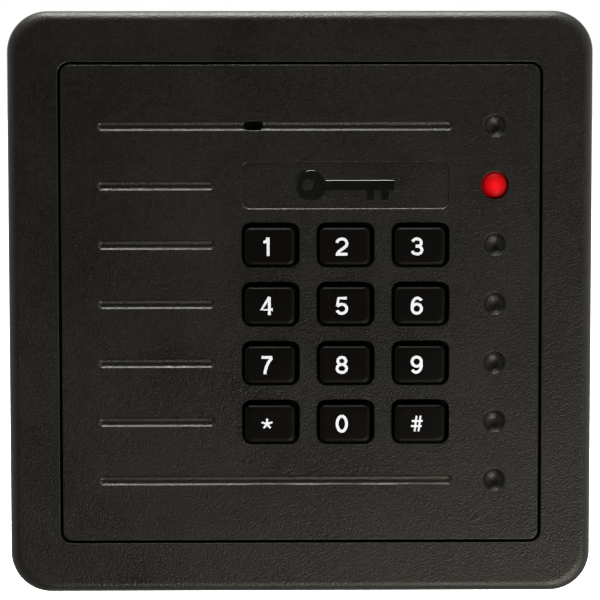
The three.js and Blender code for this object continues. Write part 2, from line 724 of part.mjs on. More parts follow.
function housingGeometry() {
  const backPlate = block(housingBackWidth, housingBackHeight, bezelInnerRadius, housingZ, housingFloorZ);
  const tub = block(flangeWidth, flangeHeight, HOUSING_CORNER_RADIUS, housingZ, housingRimZ);
  const inside = block(
    housingInnerWidth,
    housingInnerHeight,
    HOUSING_CORNER_RADIUS - HOUSING_WALL,
    housingFloorZ,
    housingRimZ + OVERRUN,
  );
  const shell = carve([backPlate, tub], [inside]);

  const cutBottomZ = housingZ - OVERRUN;
  const cutTopZ = housingFloorZ + OVERRUN;
  const standoffs = [];
  const cuts = [];
  for (const [x, y] of corners(readerScrewX, readerScrewY)) {
    standoffs.push(post(STANDOFF_DIAMETER, housingFloorZ - OVERRUN, standoffZ, x, y));
    cuts.push(post(screwHoleDiameter, housingZ + STANDOFF_FLOOR, standoffZ + OVERRUN, x, y));
  }
  for (const [x, y] of corners(bezelBossX, bezelBossY)) {
    cuts.push(post(screwHoleDiameter, cutBottomZ, cutTopZ, x, y));
  }
  const cableWindowWidth = CABLE_SOCKET_WIDTH + 2 * HOUSING_WINDOW_MARGIN;
  const cableWindowHeight = CABLE_SOCKET_HEIGHT + 2 * HOUSING_WINDOW_MARGIN;
  cuts.push(
    block(
      cableWindowWidth,
      cableWindowHeight,
      CABLE_HOLE_CORNER_RADIUS,
      cutBottomZ,
      cutTopZ,
      0,
      CABLE_HOLE_RISE,
    ),
  );
  const tamperWindow = TAMPER_SENSOR_WIDTH + 2 * TAMPER_WINDOW_MARGIN;
  cuts.push(box(tamperWindow, tamperWindow, cutBottomZ, cutTopZ, 0, tamperY));
  for (const x of hookXs) {
    const slotHeight = hookSlotTopY - hookSlotBottomY;
    const slotY = (hookSlotTopY + hookSlotBottomY) / 2;
    cuts.push(box(HOOK_WIDTH + 2 * CLEAR, slotHeight, cutBottomZ, cutTopZ, x, slotY));
  }
  const notchTopY = (lugTopY - flangeHeight / 2) / 2;
  const notchBottomY = -housingBackHeight / 2 - OVERRUN;
  const notchWidth = LUG_WIDTH + 2 * LUG_NOTCH_MARGIN;
  const notchY = (notchTopY + notchBottomY) / 2;
  cuts.push(box(notchWidth, notchTopY - notchBottomY, cutBottomZ, cutTopZ, 0, notchY));
  return carve([shell, ...standoffs], cuts);
}

add("rear_housing", housingGeometry(), blackPlastic());

// ---- Antenna: a wound square coil in a channel-shaped former ----

const formerZ = housingFloorZ + CLEAR;
const formerFloorZ = formerZ + FORMER_WALL;
const coilZ = formerFloorZ + CLEAR;
const coilTopZ = coilZ + COIL_THICKNESS;
const formerWidth = housingInnerWidth - 2 * FORMER_CLEARANCE;
const formerHeight = housingInnerHeight - 2 * FORMER_CLEARANCE;

// A square ring: its outside is set in from the former's outside, and ringWidth is its own width.
function ring(inset, ringWidth, bottomZ, topZ) {
  const width = formerWidth - 2 * inset;
  const height = formerHeight - 2 * inset;
  const radius = COIL_CORNER_RADIUS - inset;
  const outer = block(width, height, radius, bottomZ, topZ);
  const inner = block(
    width - 2 * ringWidth,
    height - 2 * ringWidth,
    radius - ringWidth,
    bottomZ - OVERRUN,
    topZ + OVERRUN,
  );
  return carve([outer], [inner]);
}

const channelWidth = COIL_WIDTH + 2 * CLEAR;
const formerBody = ring(0, channelWidth + 2 * FORMER_WALL, formerZ, coilTopZ + CLEAR);
const formerChannel = ring(FORMER_WALL, channelWidth, formerFloorZ, coilTopZ + CLEAR + OVERRUN);
add("coil_former", carve([formerBody], [formerChannel]), blackPlastic());
add("antenna_coil", ring(FORMER_WALL + CLEAR, COIL_WIDTH, coilZ, coilTopZ), copper());

// ---- Reader board and what it carries ----

function readerBoardGeometry() {
  const sheet = block(
    READER_BOARD_WIDTH,
    READER_BOARD_HEIGHT,
    BOARD_CORNER_RADIUS,
    readerBoardZ,
    readerBoardTopZ,
  );
  const holes = corners(readerScrewX, readerScrewY).map(([x, y]) =>
    post(screwHoleDiameter, readerBoardZ - OVERRUN, readerBoardTopZ + OVERRUN, x, y),
  );
  return carve([sheet], holes);
}

add("reader_board", readerBoardGeometry(), circuitBoard());

const partsZ = readerBoardTopZ + CLEAR; // where the parts on the front of the reader board stand

function chip(side) {
  return block(side, side, CHIP_CORNER_RADIUS, 0, CHIP_HEIGHT);
}

add("microcontroller", chip(MICROCONTROLLER_SIDE), blackPlastic(), -6, -14, partsZ);
add("reader_chip", chip(READER_CHIP_SIDE), blackPlastic(), 16, 8, partsZ);

const crystalCan = block(CRYSTAL_LENGTH, CRYSTAL_WIDTH, CRYSTAL_WIDTH / 2, 0, CRYSTAL_HEIGHT);
add("crystal", crystalCan, zincPlate(), -6, 2, partsZ);

// An electrolytic can on its square base.
function capacitorGeometry() {
  const base = block(CAPACITOR_BASE, CAPACITOR_BASE, CHIP_CORNER_RADIUS, 0, CAPACITOR_BASE_HEIGHT);
  const can = post(CAPACITOR_DIAMETER, CAPACITOR_BASE_HEIGHT / 2, CAPACITOR_HEIGHT);
  return carve([base, can]);
}

add("supply_capacitor", capacitorGeometry(), zincPlate(), 28, -26, partsZ);
add("filter_capacitor", capacitorGeometry(), zincPlate(), 18, -26, partsZ);

const regulator = block(REGULATOR_WIDTH, REGULATOR_WIDTH, CHIP_CORNER_RADIUS, 0, REGULATOR_HEIGHT);
add("voltage_regulator", regulator, blackPlastic(), 29, -12, partsZ);

// The two halves of the link between the boards.
const headerTopZ = partsZ + LINK_HEADER_DEPTH;
const linkSocketZ = headerTopZ + CLEAR;
const linkSocketTopZ = keypadBoardZ - CLEAR;
const linkX = -LINK_SETBACK;
add("link_header", box(LINK_WIDTH, LINK_HEIGHT, partsZ, headerTopZ, linkX, 0), blackPlastic());
add("link_socket", box(LINK_WIDTH, LINK_HEIGHT, linkSocketZ, linkSocketTopZ, linkX, 0), blackPlastic());

// The socket for the door cable looks back through the housing's window.
const cableSocketTopZ = readerBoardZ - CLEAR;
const cableSocketZ = cableSocketTopZ - CABLE_SOCKET_DEPTH;
const socketBody = box(
  CABLE_SOCKET_WIDTH,
  CABLE_SOCKET_HEIGHT,
  cableSocketZ,
  cableSocketTopZ,
  0,
  CABLE_HOLE_RISE,
);
const socketMouth = box(
  CABLE_SOCKET_WIDTH - 2 * CABLE_SOCKET_WALL,
  CABLE_SOCKET_HEIGHT - 2 * CABLE_SOCKET_WALL,
  cableSocketZ - OVERRUN,
  cableSocketTopZ - CABLE_SOCKET_WALL,
  0,
  CABLE_HOLE_RISE,
);
add("cable_socket", carve([socketBody], [socketMouth]), plastic(0xd8d4c6, 0.5));

const tamperTopZ = readerBoardZ - CLEAR;
const tamperZ = tamperTopZ - TAMPER_SENSOR_DEPTH;
const tamperBody = box(TAMPER_SENSOR_WIDTH, TAMPER_SENSOR_WIDTH, tamperZ, tamperTopZ, 0, tamperY);
add("tamper_sensor", tamperBody, blackPlastic());

// ---- Wall plate ----

function plateGeometry() {
  const sheet = block(plateWidth, plateHeight, PLATE_CORNER_RADIUS, 0, PLATE_THICKNESS);
  const joined = [sheet];
  const cuts = [];
  const lipZ = housingFloorZ + CLEAR;
  const lipTopZ = lipZ + HOOK_LIP_DEPTH;
  for (const x of hookXs) {
    const armY = (hookTopY + hookBottomY) / 2;
    const lipY = (hookTopY + hookBottomY + HOOK_LIP) / 2;
    joined.push(box(HOOK_WIDTH, HOOK_THICKNESS, PLATE_THICKNESS / 2, lipTopZ, x, armY));
    joined.push(box(HOOK_WIDTH, HOOK_THICKNESS + HOOK_LIP, lipZ, lipTopZ, x, lipY));
  }
  const lugTopZ = PLATE_THICKNESS + LUG_DEPTH;
  const lugY = (lugTopY + lugBottomY) / 2;
  joined.push(box(LUG_WIDTH, LUG_THICKNESS, PLATE_THICKNESS / 2, lugTopZ, 0, lugY));
  const shankHole = SECURITY_SCREW_SHANK_DIAMETER + 2 * CLEAR;
  cuts.push(uprightPost(shankHole, lugBottomY - OVERRUN, lugTopY + OVERRUN, securityScrewZ));
  for (const y of [-BOX_SCREW_SPACING / 2, BOX_SCREW_SPACING / 2]) {
    cuts.push(
      block(
        BOX_SCREW_SLOT_LENGTH,
        BOX_SCREW_SLOT_WIDTH,
        BOX_SCREW_SLOT_WIDTH / 2,
        -OVERRUN,
        PLATE_THICKNESS + OVERRUN,
        0,
        y,
      ),
    );
  }
  cuts.push(
    block(
      CABLE_HOLE_WIDTH,
      CABLE_HOLE_HEIGHT,
      CABLE_HOLE_CORNER_RADIUS,
      -OVERRUN,
      PLATE_THICKNESS + OVERRUN,
      0,
      CABLE_HOLE_RISE,
    ),
  );
  return carve(joined, cuts);
}

add("mounting_plate", plateGeometry(), plastic(0x2b2b2d, 0.6));

// ---- Screws ----

const smallScrew = (length) =>
  screwGeometry(SCREW_HEAD_DIAMETER, SCREW_HEAD_HEIGHT, SCREW_SHANK_DIAMETER, length);

// Four alike, numbered from the top left. tipZ is the end of the shank.
function addFour(name, length, x, y, tipZ, turnX) {
  corners(x, y).forEach(([screwX, screwY], index) => {
    add(`${name}_${index + 1}`, smallScrew(length), zincPlate(), screwX, screwY, tipZ, turnX);
  });
}

const housingScrewTipZ = housingZ - CLEAR + HOUSING_SCREW_LENGTH;
const keypadScrewTipZ = keypadBoardZ - CLEAR + KEYPAD_SCREW_LENGTH;
const readerScrewTipZ = partsZ - READER_SCREW_LENGTH;
addFour("housing_screw", HOUSING_SCREW_LENGTH, bezelBossX, bezelBossY, housingScrewTipZ, Math.PI);
addFour("keypad_board_screw", KEYPAD_SCREW_LENGTH, keypadBossX, keypadBossY, keypadScrewTipZ, Math.PI);
addFour("reader_board_screw", READER_SCREW_LENGTH, readerScrewX, readerScrewY, readerScrewTipZ, 0);

const securityScrew = screwGeometry(
  SECURITY_SCREW_HEAD_DIAMETER,
  SECURITY_SCREW_HEAD_HEIGHT,
  SECURITY_SCREW_SHANK_DIAMETER,
  SECURITY_SCREW_LENGTH,
);
const securityTipY = securitySeatY - CLEAR + SECURITY_SCREW_LENGTH;
add("security_screw", securityScrew, zincPlate(), 0, securityTipY, securityScrewZ, Math.PI / 2);

// ---- The reader, stood up against its wall ----

lying.rotation.x = Math.PI / 2;
const reader = new THREE.Group();
reader.add(lying);

export default reader;
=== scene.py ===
# %% [markdown]
# # A keypad reader for a wall
# The object is a square charcoal reader with twelve black keys. The CAD model gives its exact places.
# Here the visible parts are rebuilt with finer edges, and every part gets the finish of its material.
# We start by loading the CAD model, because the places of the parts are read from it. A few sizes that
# its boxes don't give, such as wall thicknesses, are named again below with the same values.

# %% Load the frame
import json
import math

import bmesh
import bpy
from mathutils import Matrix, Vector


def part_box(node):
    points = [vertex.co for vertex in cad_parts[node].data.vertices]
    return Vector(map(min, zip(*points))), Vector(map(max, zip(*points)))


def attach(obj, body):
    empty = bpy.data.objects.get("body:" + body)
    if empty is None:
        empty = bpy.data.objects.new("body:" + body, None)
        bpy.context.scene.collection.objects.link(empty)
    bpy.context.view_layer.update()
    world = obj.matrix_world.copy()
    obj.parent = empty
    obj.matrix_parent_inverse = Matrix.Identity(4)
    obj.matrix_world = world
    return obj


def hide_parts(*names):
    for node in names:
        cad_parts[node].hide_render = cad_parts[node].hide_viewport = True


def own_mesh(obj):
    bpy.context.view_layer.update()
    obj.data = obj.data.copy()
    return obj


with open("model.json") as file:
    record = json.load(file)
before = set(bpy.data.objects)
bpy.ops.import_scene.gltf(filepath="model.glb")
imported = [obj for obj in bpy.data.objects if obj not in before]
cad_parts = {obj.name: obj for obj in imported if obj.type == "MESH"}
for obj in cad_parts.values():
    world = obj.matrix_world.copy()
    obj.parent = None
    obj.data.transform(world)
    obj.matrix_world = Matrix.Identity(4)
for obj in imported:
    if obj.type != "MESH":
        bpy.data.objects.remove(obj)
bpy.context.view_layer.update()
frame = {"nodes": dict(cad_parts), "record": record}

MM = 0.001

# %% [markdown]
# ## Camera
# A long lens from a little above shows the face almost without perspective, as a catalogue picture does.
# A short lens close by would show the sides of the keys too strongly, so the camera stays far away.

# %% Camera
camera_data = bpy.data.cameras.new("front_camera")
camera_data.lens = 193.8
camera_data.sensor_width = 36
camera = bpy.data.objects.new("front_camera", camera_data)
camera.location = (-0.0102, -0.7254, 0.0635)
camera.rotation_euler = (math.radians(90 - 5.114), math.radians(0.05), math.radians(-0.83))
bpy.context.scene.collection.objects.link(camera)
bpy.context.scene.camera = camera

# %% [markdown]
# ## Tools that are used for every piece
# Blender's operators act on whatever is selected, so each helper first selects one piece alone.
# A piece starts as a primitive, is shaped in edit mode, and ends with its origin at the world's origin.

# %% Select one piece and settle it


def select_only(*pieces):
    bpy.ops.object.select_all(action="DESELECT")
    for piece in pieces:
        piece.select_set(True)
    bpy.context.view_layer.objects.active = pieces[0]


def edit(piece):
    select_only(piece)
    bpy.ops.object.mode_set(mode="EDIT")
    bpy.ops.mesh.select_mode(type="FACE")


def done():
    bpy.ops.object.mode_set(mode="OBJECT")


def settle(piece, name):
    """Name a piece and put its place in its mesh, so that its object sits at the origin."""
    done()
    select_only(piece)
    bpy.ops.object.transform_apply(location=True, rotation=True, scale=True)
    piece.name = name
    piece.data.name = name
    return piece


# %% [markdown]
# ## Rounded outlines drawn forward in steps
# Most parts of the reader are a rounded rectangle or a circle that is carried forward, out of the wall,
# while it grows or shrinks: a key cap, a bezel with its front rounding, a dimple, a screw head.
# One helper does this by extruding and resizing the front face, once for each step.

# %% Step a face forward


def step_forward(piece, steps, width, height):
    """Extrude the selected face to each y in steps, with its outline grown by the given amount all round."""
    y, grown = steps[0]
    for next_y, next_grown in steps[1:]:
        bpy.ops.mesh.extrude_region_move(TRANSFORM_OT_translate={"value": (0, next_y - y, 0)})
        across = (width + 2 * next_grown) / (width + 2 * grown)
        up = (height + 2 * next_grown) / (height + 2 * grown)
        bpy.ops.transform.resize(value=(across, 1, up))
        y, grown = next_y, next_grown


def face_out(piece):
    bpy.ops.mesh.select_mode(type="FACE")
    bpy.ops.mesh.select_all(action="SELECT")
    bpy.ops.mesh.normals_make_consistent(inside=False)


def stepped_block(name, x, z, width, height, corner, steps, segments=8):
    """A solid with a rounded rectangular outline, stepped along y."""
    y, grown = steps[0]
    bpy.ops.object.select_all(action="DESELECT")
    bpy.ops.mesh.primitive_plane_add(size=1, location=(x, y, z), rotation=(math.radians(90), 0, 0))
    piece = bpy.context.object
    piece.scale = (width + 2 * grown, height + 2 * grown, 1)
    settle(piece, name)
    edit(piece)
    bpy.ops.mesh.select_all(action="SELECT")
    bpy.ops.mesh.bevel(offset=corner, segments=segments, affect="VERTICES", clamp_overlap=False)
    bpy.ops.mesh.select_mode(type="FACE")
    bpy.ops.mesh.select_all(action="SELECT")
    step_forward(piece, steps, width, height)
    face_out(piece)
    return settle(piece, name)


def stepped_round(name, x, z, diameter, steps, sides=40):
    """A solid with a round outline, stepped along y."""
    y, grown = steps[0]
    bpy.ops.object.select_all(action="DESELECT")
    bpy.ops.mesh.primitive_circle_add(
        vertices=sides,
        radius=diameter / 2 + grown,
        fill_type="NGON",
        location=(x, y, z),
        rotation=(math.radians(90), 0, 0),
    )
    piece = bpy.context.object
    settle(piece, name)
    edit(piece)
    bpy.ops.mesh.select_all(action="SELECT")
    step_forward(piece, steps, diameter, diameter)
    face_out(piece)
    return settle(piece, name)


def quarter_round(edge_y, radius, count):
    """Steps of a rounded edge that ends at edge_y while the outline shrinks."""
    steps = []
    for i in range(1, count + 1):
        angle = math.radians(90) * i / count
        steps.append((edge_y + radius * (1 - math.sin(angle)), -radius * (1 - math.cos(angle))))
    return steps


def lip_steps(edge_y, radius, count=5):
    """Steps of a cut's flared lip. It crosses the face at a slope, because a lip that only just touches
    the face would leave slivers."""
    steps = []
    for i in range(1, count + 1):
        angle = math.radians(72) * i / count
        steps.append((edge_y + radius * (1 - math.sin(angle)), radius * (1 - math.cos(angle))))
    y, grown = steps[-1]
    beyond = 0.3 * MM
    return steps + [(edge_y - beyond, grown + (y - edge_y + beyond) * math.tan(math.radians(72)))]


# %% [markdown]
# ## Joining and cutting
# Mould makers cut pockets and holes with separate tools, and a boolean modifier does the same.
# Cutters that don't touch each other are joined first, so that one boolean makes all their cuts.

# %% Boolean tools


def joined(pieces):
    select_only(*pieces)
    if len(pieces) > 1:
        bpy.ops.object.join()
    return bpy.context.view_layer.objects.active


def combine(piece, tool, operation):
    select_only(piece)
    modifier = piece.modifiers.new("combine", "BOOLEAN")
    modifier.operation = operation
    modifier.solver = "EXACT"
    modifier.object = tool
    bpy.ops.object.modifier_apply(modifier=modifier.name)
    bpy.data.objects.remove(tool)
    return piece


def cut(piece, *tools):
    return combine(piece, joined(list(tools)), "DIFFERENCE")


def add_to(piece, *tools):
    return combine(piece, joined(list(tools)), "UNION")


def tidy_surface(piece, angle=32):
    """Merge doubled points, smooth the shading, and let large flat faces keep their own normals."""
    edit(piece)
    bpy.ops.mesh.select_all(action="SELECT")
    bpy.ops.mesh.remove_doubles(threshold=0.002 * MM)
    done()
    select_only(piece)
    bpy.ops.object.shade_smooth_by_angle(angle=math.radians(angle))
    modifier = piece.modifiers.new("flat_faces_first", "WEIGHTED_NORMAL")
    modifier.keep_sharp = True
    modifier.weight = 100
    bpy.ops.object.modifier_apply(modifier=modifier.name)
    return piece


# %% [markdown]
# ## Places on the face
# The keys and the light stand on one grid of seven rows. The CAD boxes of the keys and the light give
# the grid, so nothing has to be measured again here.

# %% Read the grid from the CAD boxes
bezel_low, bezel_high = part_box("front_bezel")
light_low, light_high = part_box("status_light")
key_names = ["key_1", "key_2", "key_3", "key_4", "key_5", "key_6", "key_7", "key_8", "key_9"]
key_names += ["key_star", "key_0", "key_hash"]


def centre(node):
    low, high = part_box(node)
    return (low + high) / 2


FACE_Y = bezel_low.y
BAND = 10.95 * MM
SEAM = 0.6 * MM
HOLE_WIDTH = 12.3 * MM
HOLE_HEIGHT = 9.5 * MM
HOLE_CORNER = 1.95 * MM
panel_half = bezel_high.x - BAND - SEAM
row_pitch = centre("key_1").z - centre("key_4").z
light_x = (light_low.x + light_high.x) / 2
light_z = (light_low.z + light_high.z) / 2
row_z = [light_z + (1 - row) * row_pitch for row in range(7)]
keys_left = centre("key_1").x - HOLE_WIDTH / 2
keys_right = centre("key_3").x + HOLE_WIDTH / 2
keys_middle = (keys_left + keys_right) / 2
print("rows at", [round(z / MM, 2) for z in row_z], "mm")

# %% [markdown]
# ## Front bezel
# The bezel is the moulded shell round the face. It is one injection moulding with a soft rounding all
# along its front edge, open at the back, with a square window. It could be bridged from loops, but
# a stepped block with a cavity and a window cut out of it keeps the wall thicknesses exact.

# %% Front bezel
SIDE_WALL = 2.5 * MM
FRONT_WALL = 2.6 * MM
OUTER_CORNER = 8.8 * MM
FRONT_ROUND = 2.3 * MM
WINDOW_LIP = 0.22 * MM
outer_width = bezel_high.x - bezel_low.x
outer_height = bezel_high.z - bezel_low.z
rim_y = bezel_high.y

bezel = stepped_block(
    "bezel_shell",
    0,
    0,
    outer_width,
    outer_height,
    OUTER_CORNER,
    [(rim_y, -0.3 * MM), (rim_y - 0.3 * MM, 0), (FACE_Y + FRONT_ROUND, 0)]
    + quarter_round(FACE_Y, FRONT_ROUND, 8),
    segments=20,
)
cavity = stepped_block(
    "cavity",
    0,
    0,
    outer_width - 2 * SIDE_WALL,
    outer_height - 2 * SIDE_WALL,
    OUTER_CORNER - SIDE_WALL,
    [(1 * MM, 0), (FACE_Y + FRONT_WALL, 0)],
    segments=16,
)
cut(bezel, cavity)
window = stepped_block(
    "window",
    0,
    0,
    2 * (panel_half + SEAM),
    2 * (panel_half + SEAM),
    2.6 * MM,
    [(-10 * MM, 0), (FACE_Y + WINDOW_LIP, 0)] + lip_steps(FACE_Y, WINDOW_LIP),
    segments=10,
)
cut(bezel, window)

# %% [markdown]
# Four posts inside the bezel's corners take the screws that hold the rear housing. Each is drawn
# forward from the housing to the bezel's front wall, and joined to it.

# %% Corner posts and the hole for the security screw
POST_DIAMETER = 6 * MM
POST_HOLE = 3 * MM
post_back = -7.3 * MM
post_front = FACE_Y + 2 * MM
posts = []
holes = []
for number in range(1, 5):
    place = centre(f"housing_screw_{number}")
    screw_low, screw_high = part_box(f"housing_screw_{number}")
    posts.append(
        stepped_round("post", place.x, place.z, POST_DIAMETER, [(post_back, 0), (post_front, 0)], 24)
    )
    hole_end = screw_low.y - 1 * MM
    holes.append(stepped_round("hole", place.x, place.z, POST_HOLE, [(post_back + MM, 0), (hole_end, 0)], 20))
    side = math.copysign(1, place.x)
    web_x = (place.x + side * (outer_width / 2 - 1 * MM)) / 2
    web_width = abs(place.x - side * (outer_width / 2 - 1 * MM))
    posts.append(
        stepped_block(
            "web", web_x, place.z, web_width, 2 * MM, 0.1 * MM, [(post_back, 0), (post_front, 0)], 2
        )
    )
for tool in posts:
    add_to(bezel, tool)
cut(bezel, *holes)


def upright_hole(diameter, low_z, high_z, y):
    bpy.ops.object.select_all(action="DESELECT")
    bpy.ops.mesh.primitive_cylinder_add(
        vertices=40, radius=diameter / 2, depth=high_z - low_z, location=(0, y, (low_z + high_z) / 2)
    )
    return settle(bpy.context.object, "upright_hole")


security_low, security_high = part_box("security_screw")
security_y = (security_low.y + security_high.y) / 2
seat_z = bezel_low.z + 1.8 * MM
cut(bezel, upright_hole(6.0 * MM, bezel_low.z - 1 * MM, seat_z, security_y))
cut(bezel, upright_hole(3.5 * MM, bezel_low.z - 1 * MM, bezel_low.z + 6 * MM, security_y))
tidy_surface(bezel)
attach(bezel, "reader")
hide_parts("front_bezel")
print("front bezel:", len(bezel.data.polygons), "faces")

# %% [markdown]
# ## Face panel
# The panel is a second moulding that sits in the bezel's window with an open seam round it. It carries
# the grooves, the dimples and the holes for the keys and the light. Its lips are softly rounded,
# as the polished edges of a mould leave them, and a sharp boolean edge would look cut with a knife.
# So each cutter flares out at the face by the radius of its lip.

# %% Panel body
PANEL_CORNER = 2 * MM
PANEL_EDGE = 0.25 * MM
PANEL_WALL = 2.4 * MM
panel_low, panel_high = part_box("face_panel")
flange_y = panel_high.y
face_panel = stepped_block(
    "face_panel_shell",
    0,
    0,
    2 * panel_half,
    2 * panel_half,
    PANEL_CORNER,
    [(flange_y, 0), (FACE_Y + PANEL_EDGE, 0)] + quarter_round(FACE_Y, PANEL_EDGE, 4),
    segments=10,
)
flange = stepped_block(
    "flange",
    0,
    0,
    panel_high.x - panel_low.x,
    panel_high.z - panel_low.z,
    PANEL_CORNER + SEAM,
    [(flange_y, 0), (flange_y - 1.6 * MM, 0)],
)
add_to(face_panel, flange)
pocket = stepped_block(
    "pocket",
    0,
    0,
    2 * (panel_half - PANEL_WALL),
    2 * (panel_half - PANEL_WALL),
    PANEL_CORNER,
    [(flange_y + 1 * MM, 0), (FACE_Y + PANEL_WALL, 0)],
)
cut(face_panel, pocket)
board_low, board_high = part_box("keypad_board")
boss_back = board_low.y - 0.3 * MM
for number in range(1, 5):
    place = centre(f"keypad_board_screw_{number}")
    add_to(
        face_panel,
        stepped_round("boss", place.x, place.z, POST_DIAMETER, [(boss_back, 0), (FACE_Y + 1.4 * MM, 0)], 24),
    )
    cut(
        face_panel,
        stepped_round(
            "boss_hole", place.x, place.z, POST_HOLE, [(boss_back + MM, 0), (FACE_Y + PANEL_WALL, 0)], 20
        ),
    )

# %% [markdown]
# ### Cutters for the face
# Grooves are part of a long round rod, so a rod with ball ends, sunk a little into the face, cuts them.
# The ball is made first. Its two halves are then moved apart, which stretches its middle band.

# %% Groove, dimple and hole cutters
GROOVE_WIDTH = 2.1 * MM
GROOVE_DEPTH = 0.6 * MM
GROOVE_INSET = 7.8 * MM
GROOVE_TO_KEYS = 5.9 * MM
GROOVE_PAST_KEYS = 1 * MM
DIMPLE_WIDTH = 4.9 * MM
DIMPLE_DEPTH = 1.5 * MM
HOLE_LIP = 0.3 * MM


def ball_radius(width, depth):
    return (width * width / 4 + depth * depth) / (2 * depth)


def groove_cutter(left, right, z):
    radius = ball_radius(GROOVE_WIDTH, GROOVE_DEPTH)
    bpy.ops.object.select_all(action="DESELECT")
    bpy.ops.mesh.primitive_uv_sphere_add(
        segments=48,
        ring_count=25,
        radius=radius,
        location=((left + right) / 2, FACE_Y - radius + GROOVE_DEPTH, z),
        rotation=(0, math.radians(90), 0),
    )
    tool = settle(bpy.context.object, "groove")
    half = (right - left) / 2 - GROOVE_WIDTH / 2
    middle_x = (left + right) / 2
    for side in (-1, 1):
        edit(tool)
        bpy.ops.mesh.select_mode(type="VERT")
        bpy.ops.mesh.select_all(action="DESELECT")
        shape = bmesh.from_edit_mesh(tool.data)
        for vert in shape.verts:
            vert.select_set(side * (vert.co.x - middle_x) > 0 and abs(vert.co.x - middle_x) < radius * 1.01)
        shape.select_flush(True)
        bmesh.update_edit_mesh(tool.data)
        bpy.ops.transform.translate(value=(side * half, 0, 0))
        done()
    return tool


def dimple_cutter(x, z):
    radius = ball_radius(DIMPLE_WIDTH, DIMPLE_DEPTH)
    middle_y = FACE_Y + DIMPLE_DEPTH - radius
    rings = 14
    reach = math.asin((DIMPLE_WIDTH / 2) / radius) * 0.95
    steps = []
    for ring in range(1, rings + 1):
        angle = reach * ring / rings
        steps.append((middle_y + radius * math.cos(angle), radius * math.sin(angle) - DIMPLE_WIDTH / 2))
    y, grown = steps[-1]
    steps.append((FACE_Y + 0.03 * MM, grown + 0.16 * MM))
    steps.append((FACE_Y - 0.3 * MM, grown + 1.0 * MM))
    return stepped_round("dimple", x, z, DIMPLE_WIDTH, steps, 48)


def flared_steps(lip, back=FACE_Y + 7 * MM):
    return [(back, 0), (FACE_Y + lip, 0)] + lip_steps(FACE_Y, lip)


# %% Cut the face
cutters = []
hole_steps = flared_steps(HOLE_LIP)
for name in key_names:
    place = centre(name)
    cutters.append(
        stepped_block("key_hole", place.x, place.z, HOLE_WIDTH, HOLE_HEIGHT, HOLE_CORNER, hole_steps)
    )
for row, z in enumerate(row_z):
    right = keys_right + GROOVE_PAST_KEYS if row in (0, 6) else keys_left - GROOVE_TO_KEYS
    cutters.append(groove_cutter(-panel_half + GROOVE_INSET, right, z))
    if row != 1:
        cutters.append(dimple_cutter(light_x, z))
cutters.append(stepped_round("light_hole", light_x, light_z, 5.8 * MM, flared_steps(0.3 * MM), 48))
BADGE_HEIGHT = 10.1 * MM
BADGE_DEPTH = 0.3 * MM
cutters.append(
    stepped_block(
        "badge_recess",
        keys_middle,
        light_z,
        keys_right - keys_left,
        BADGE_HEIGHT,
        1.5 * MM,
        [(FACE_Y + BADGE_DEPTH, -0.1 * MM), (FACE_Y + 0.15 * MM, -0.02 * MM)]
        + lip_steps(FACE_Y, 0.15 * MM, 3),
    )
)
cut(face_panel, *cutters)
slot_x = centre("key_1").x - 3.7 * MM
cut(
    face_panel,
    stepped_block("sound_slot", slot_x, row_z[0], 4.4 * MM, 1.95 * MM, 0.97 * MM, flared_steps(0.15 * MM)),
)
tidy_surface(face_panel)
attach(face_panel, "reader")
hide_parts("face_panel")
print("face panel:", len(face_panel.data.polygons), "faces")

# %% [markdown]
# ## Keys
# A key is a black cap on a wider flange that keeps it behind the panel, with a stem that presses the
# rubber mat. The cap has a small draft, a rounded edge and a slight crown, so that light rolls over it.
# One key is modelled, and then copied eleven times with its own mesh each.

# %% One key
CAP_WIDTH = 11 * MM
CAP_HEIGHT = 8.2 * MM
CAP_CORNER = 1.3 * MM
CAP_ROUND = 0.8 * MM
SETTLE_LEFT = 0.2 * MM
SETTLE_DOWN = 0.3 * MM
key_low, key_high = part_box("key_1")
key_place = centre("key_1")
cap_top = key_low.y
flange_back = FACE_Y + 3.8 * MM
flange_front = FACE_Y + 2.7 * MM
cap_x = key_place.x - SETTLE_LEFT
cap_z = key_place.z - SETTLE_DOWN
crown = 0.05 * MM
rounding = [(y + crown, shrink) for y, shrink in quarter_round(cap_top, CAP_ROUND, 6)]
first_key = stepped_block(
    "key_cap",
    cap_x,
    cap_z,
    CAP_WIDTH,
    CAP_HEIGHT,
    CAP_CORNER,
    [(flange_back, 0), (cap_top + CAP_ROUND + crown, -0.05 * MM)]
    + rounding
    + [
        (cap_top + 0.03 * MM, -CAP_ROUND - 0.9 * MM),
    ],
    segments=8,
)
key_flange = stepped_block(
    "key_flange",
    key_place.x,
    key_place.z,
    key_high.x - key_low.x,
    key_high.z - key_low.z,
    HOLE_CORNER,
    [(flange_back, -0.1 * MM), (flange_back - 0.1 * MM, 0), (flange_front + 0.1 * MM, 0)]
    + [(flange_front, -0.1 * MM)],
)
key_stem = stepped_round(
    "key_stem",
    key_place.x,
    key_place.z,
    4 * MM,
    [(key_high.y, -0.15 * MM), (key_high.y - 0.15 * MM, 0), (flange_back - 0.5 * MM, 0)],
    32,
)
add_to(first_key, key_flange)
add_to(first_key, key_stem)
tidy_surface(first_key, 40)

# %% Copy the key to the other eleven places
keys = {}
for name in key_names:
    shift = centre(name) - key_place
    key = first_key if name == "key_1" else first_key.copy()
    if name != "key_1":
        key.data = first_key.data.copy()
        bpy.context.scene.collection.objects.link(key)
        key.location = shift
        select_only(key)
        bpy.ops.object.transform_apply(location=True, rotation=True, scale=True)
    key.name = name + "_cap"
    keys[name] = key
for name, key in keys.items():
    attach(key, name)
    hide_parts(name)
print("keys:", len(keys), "each with", len(first_key.data.polygons), "faces")

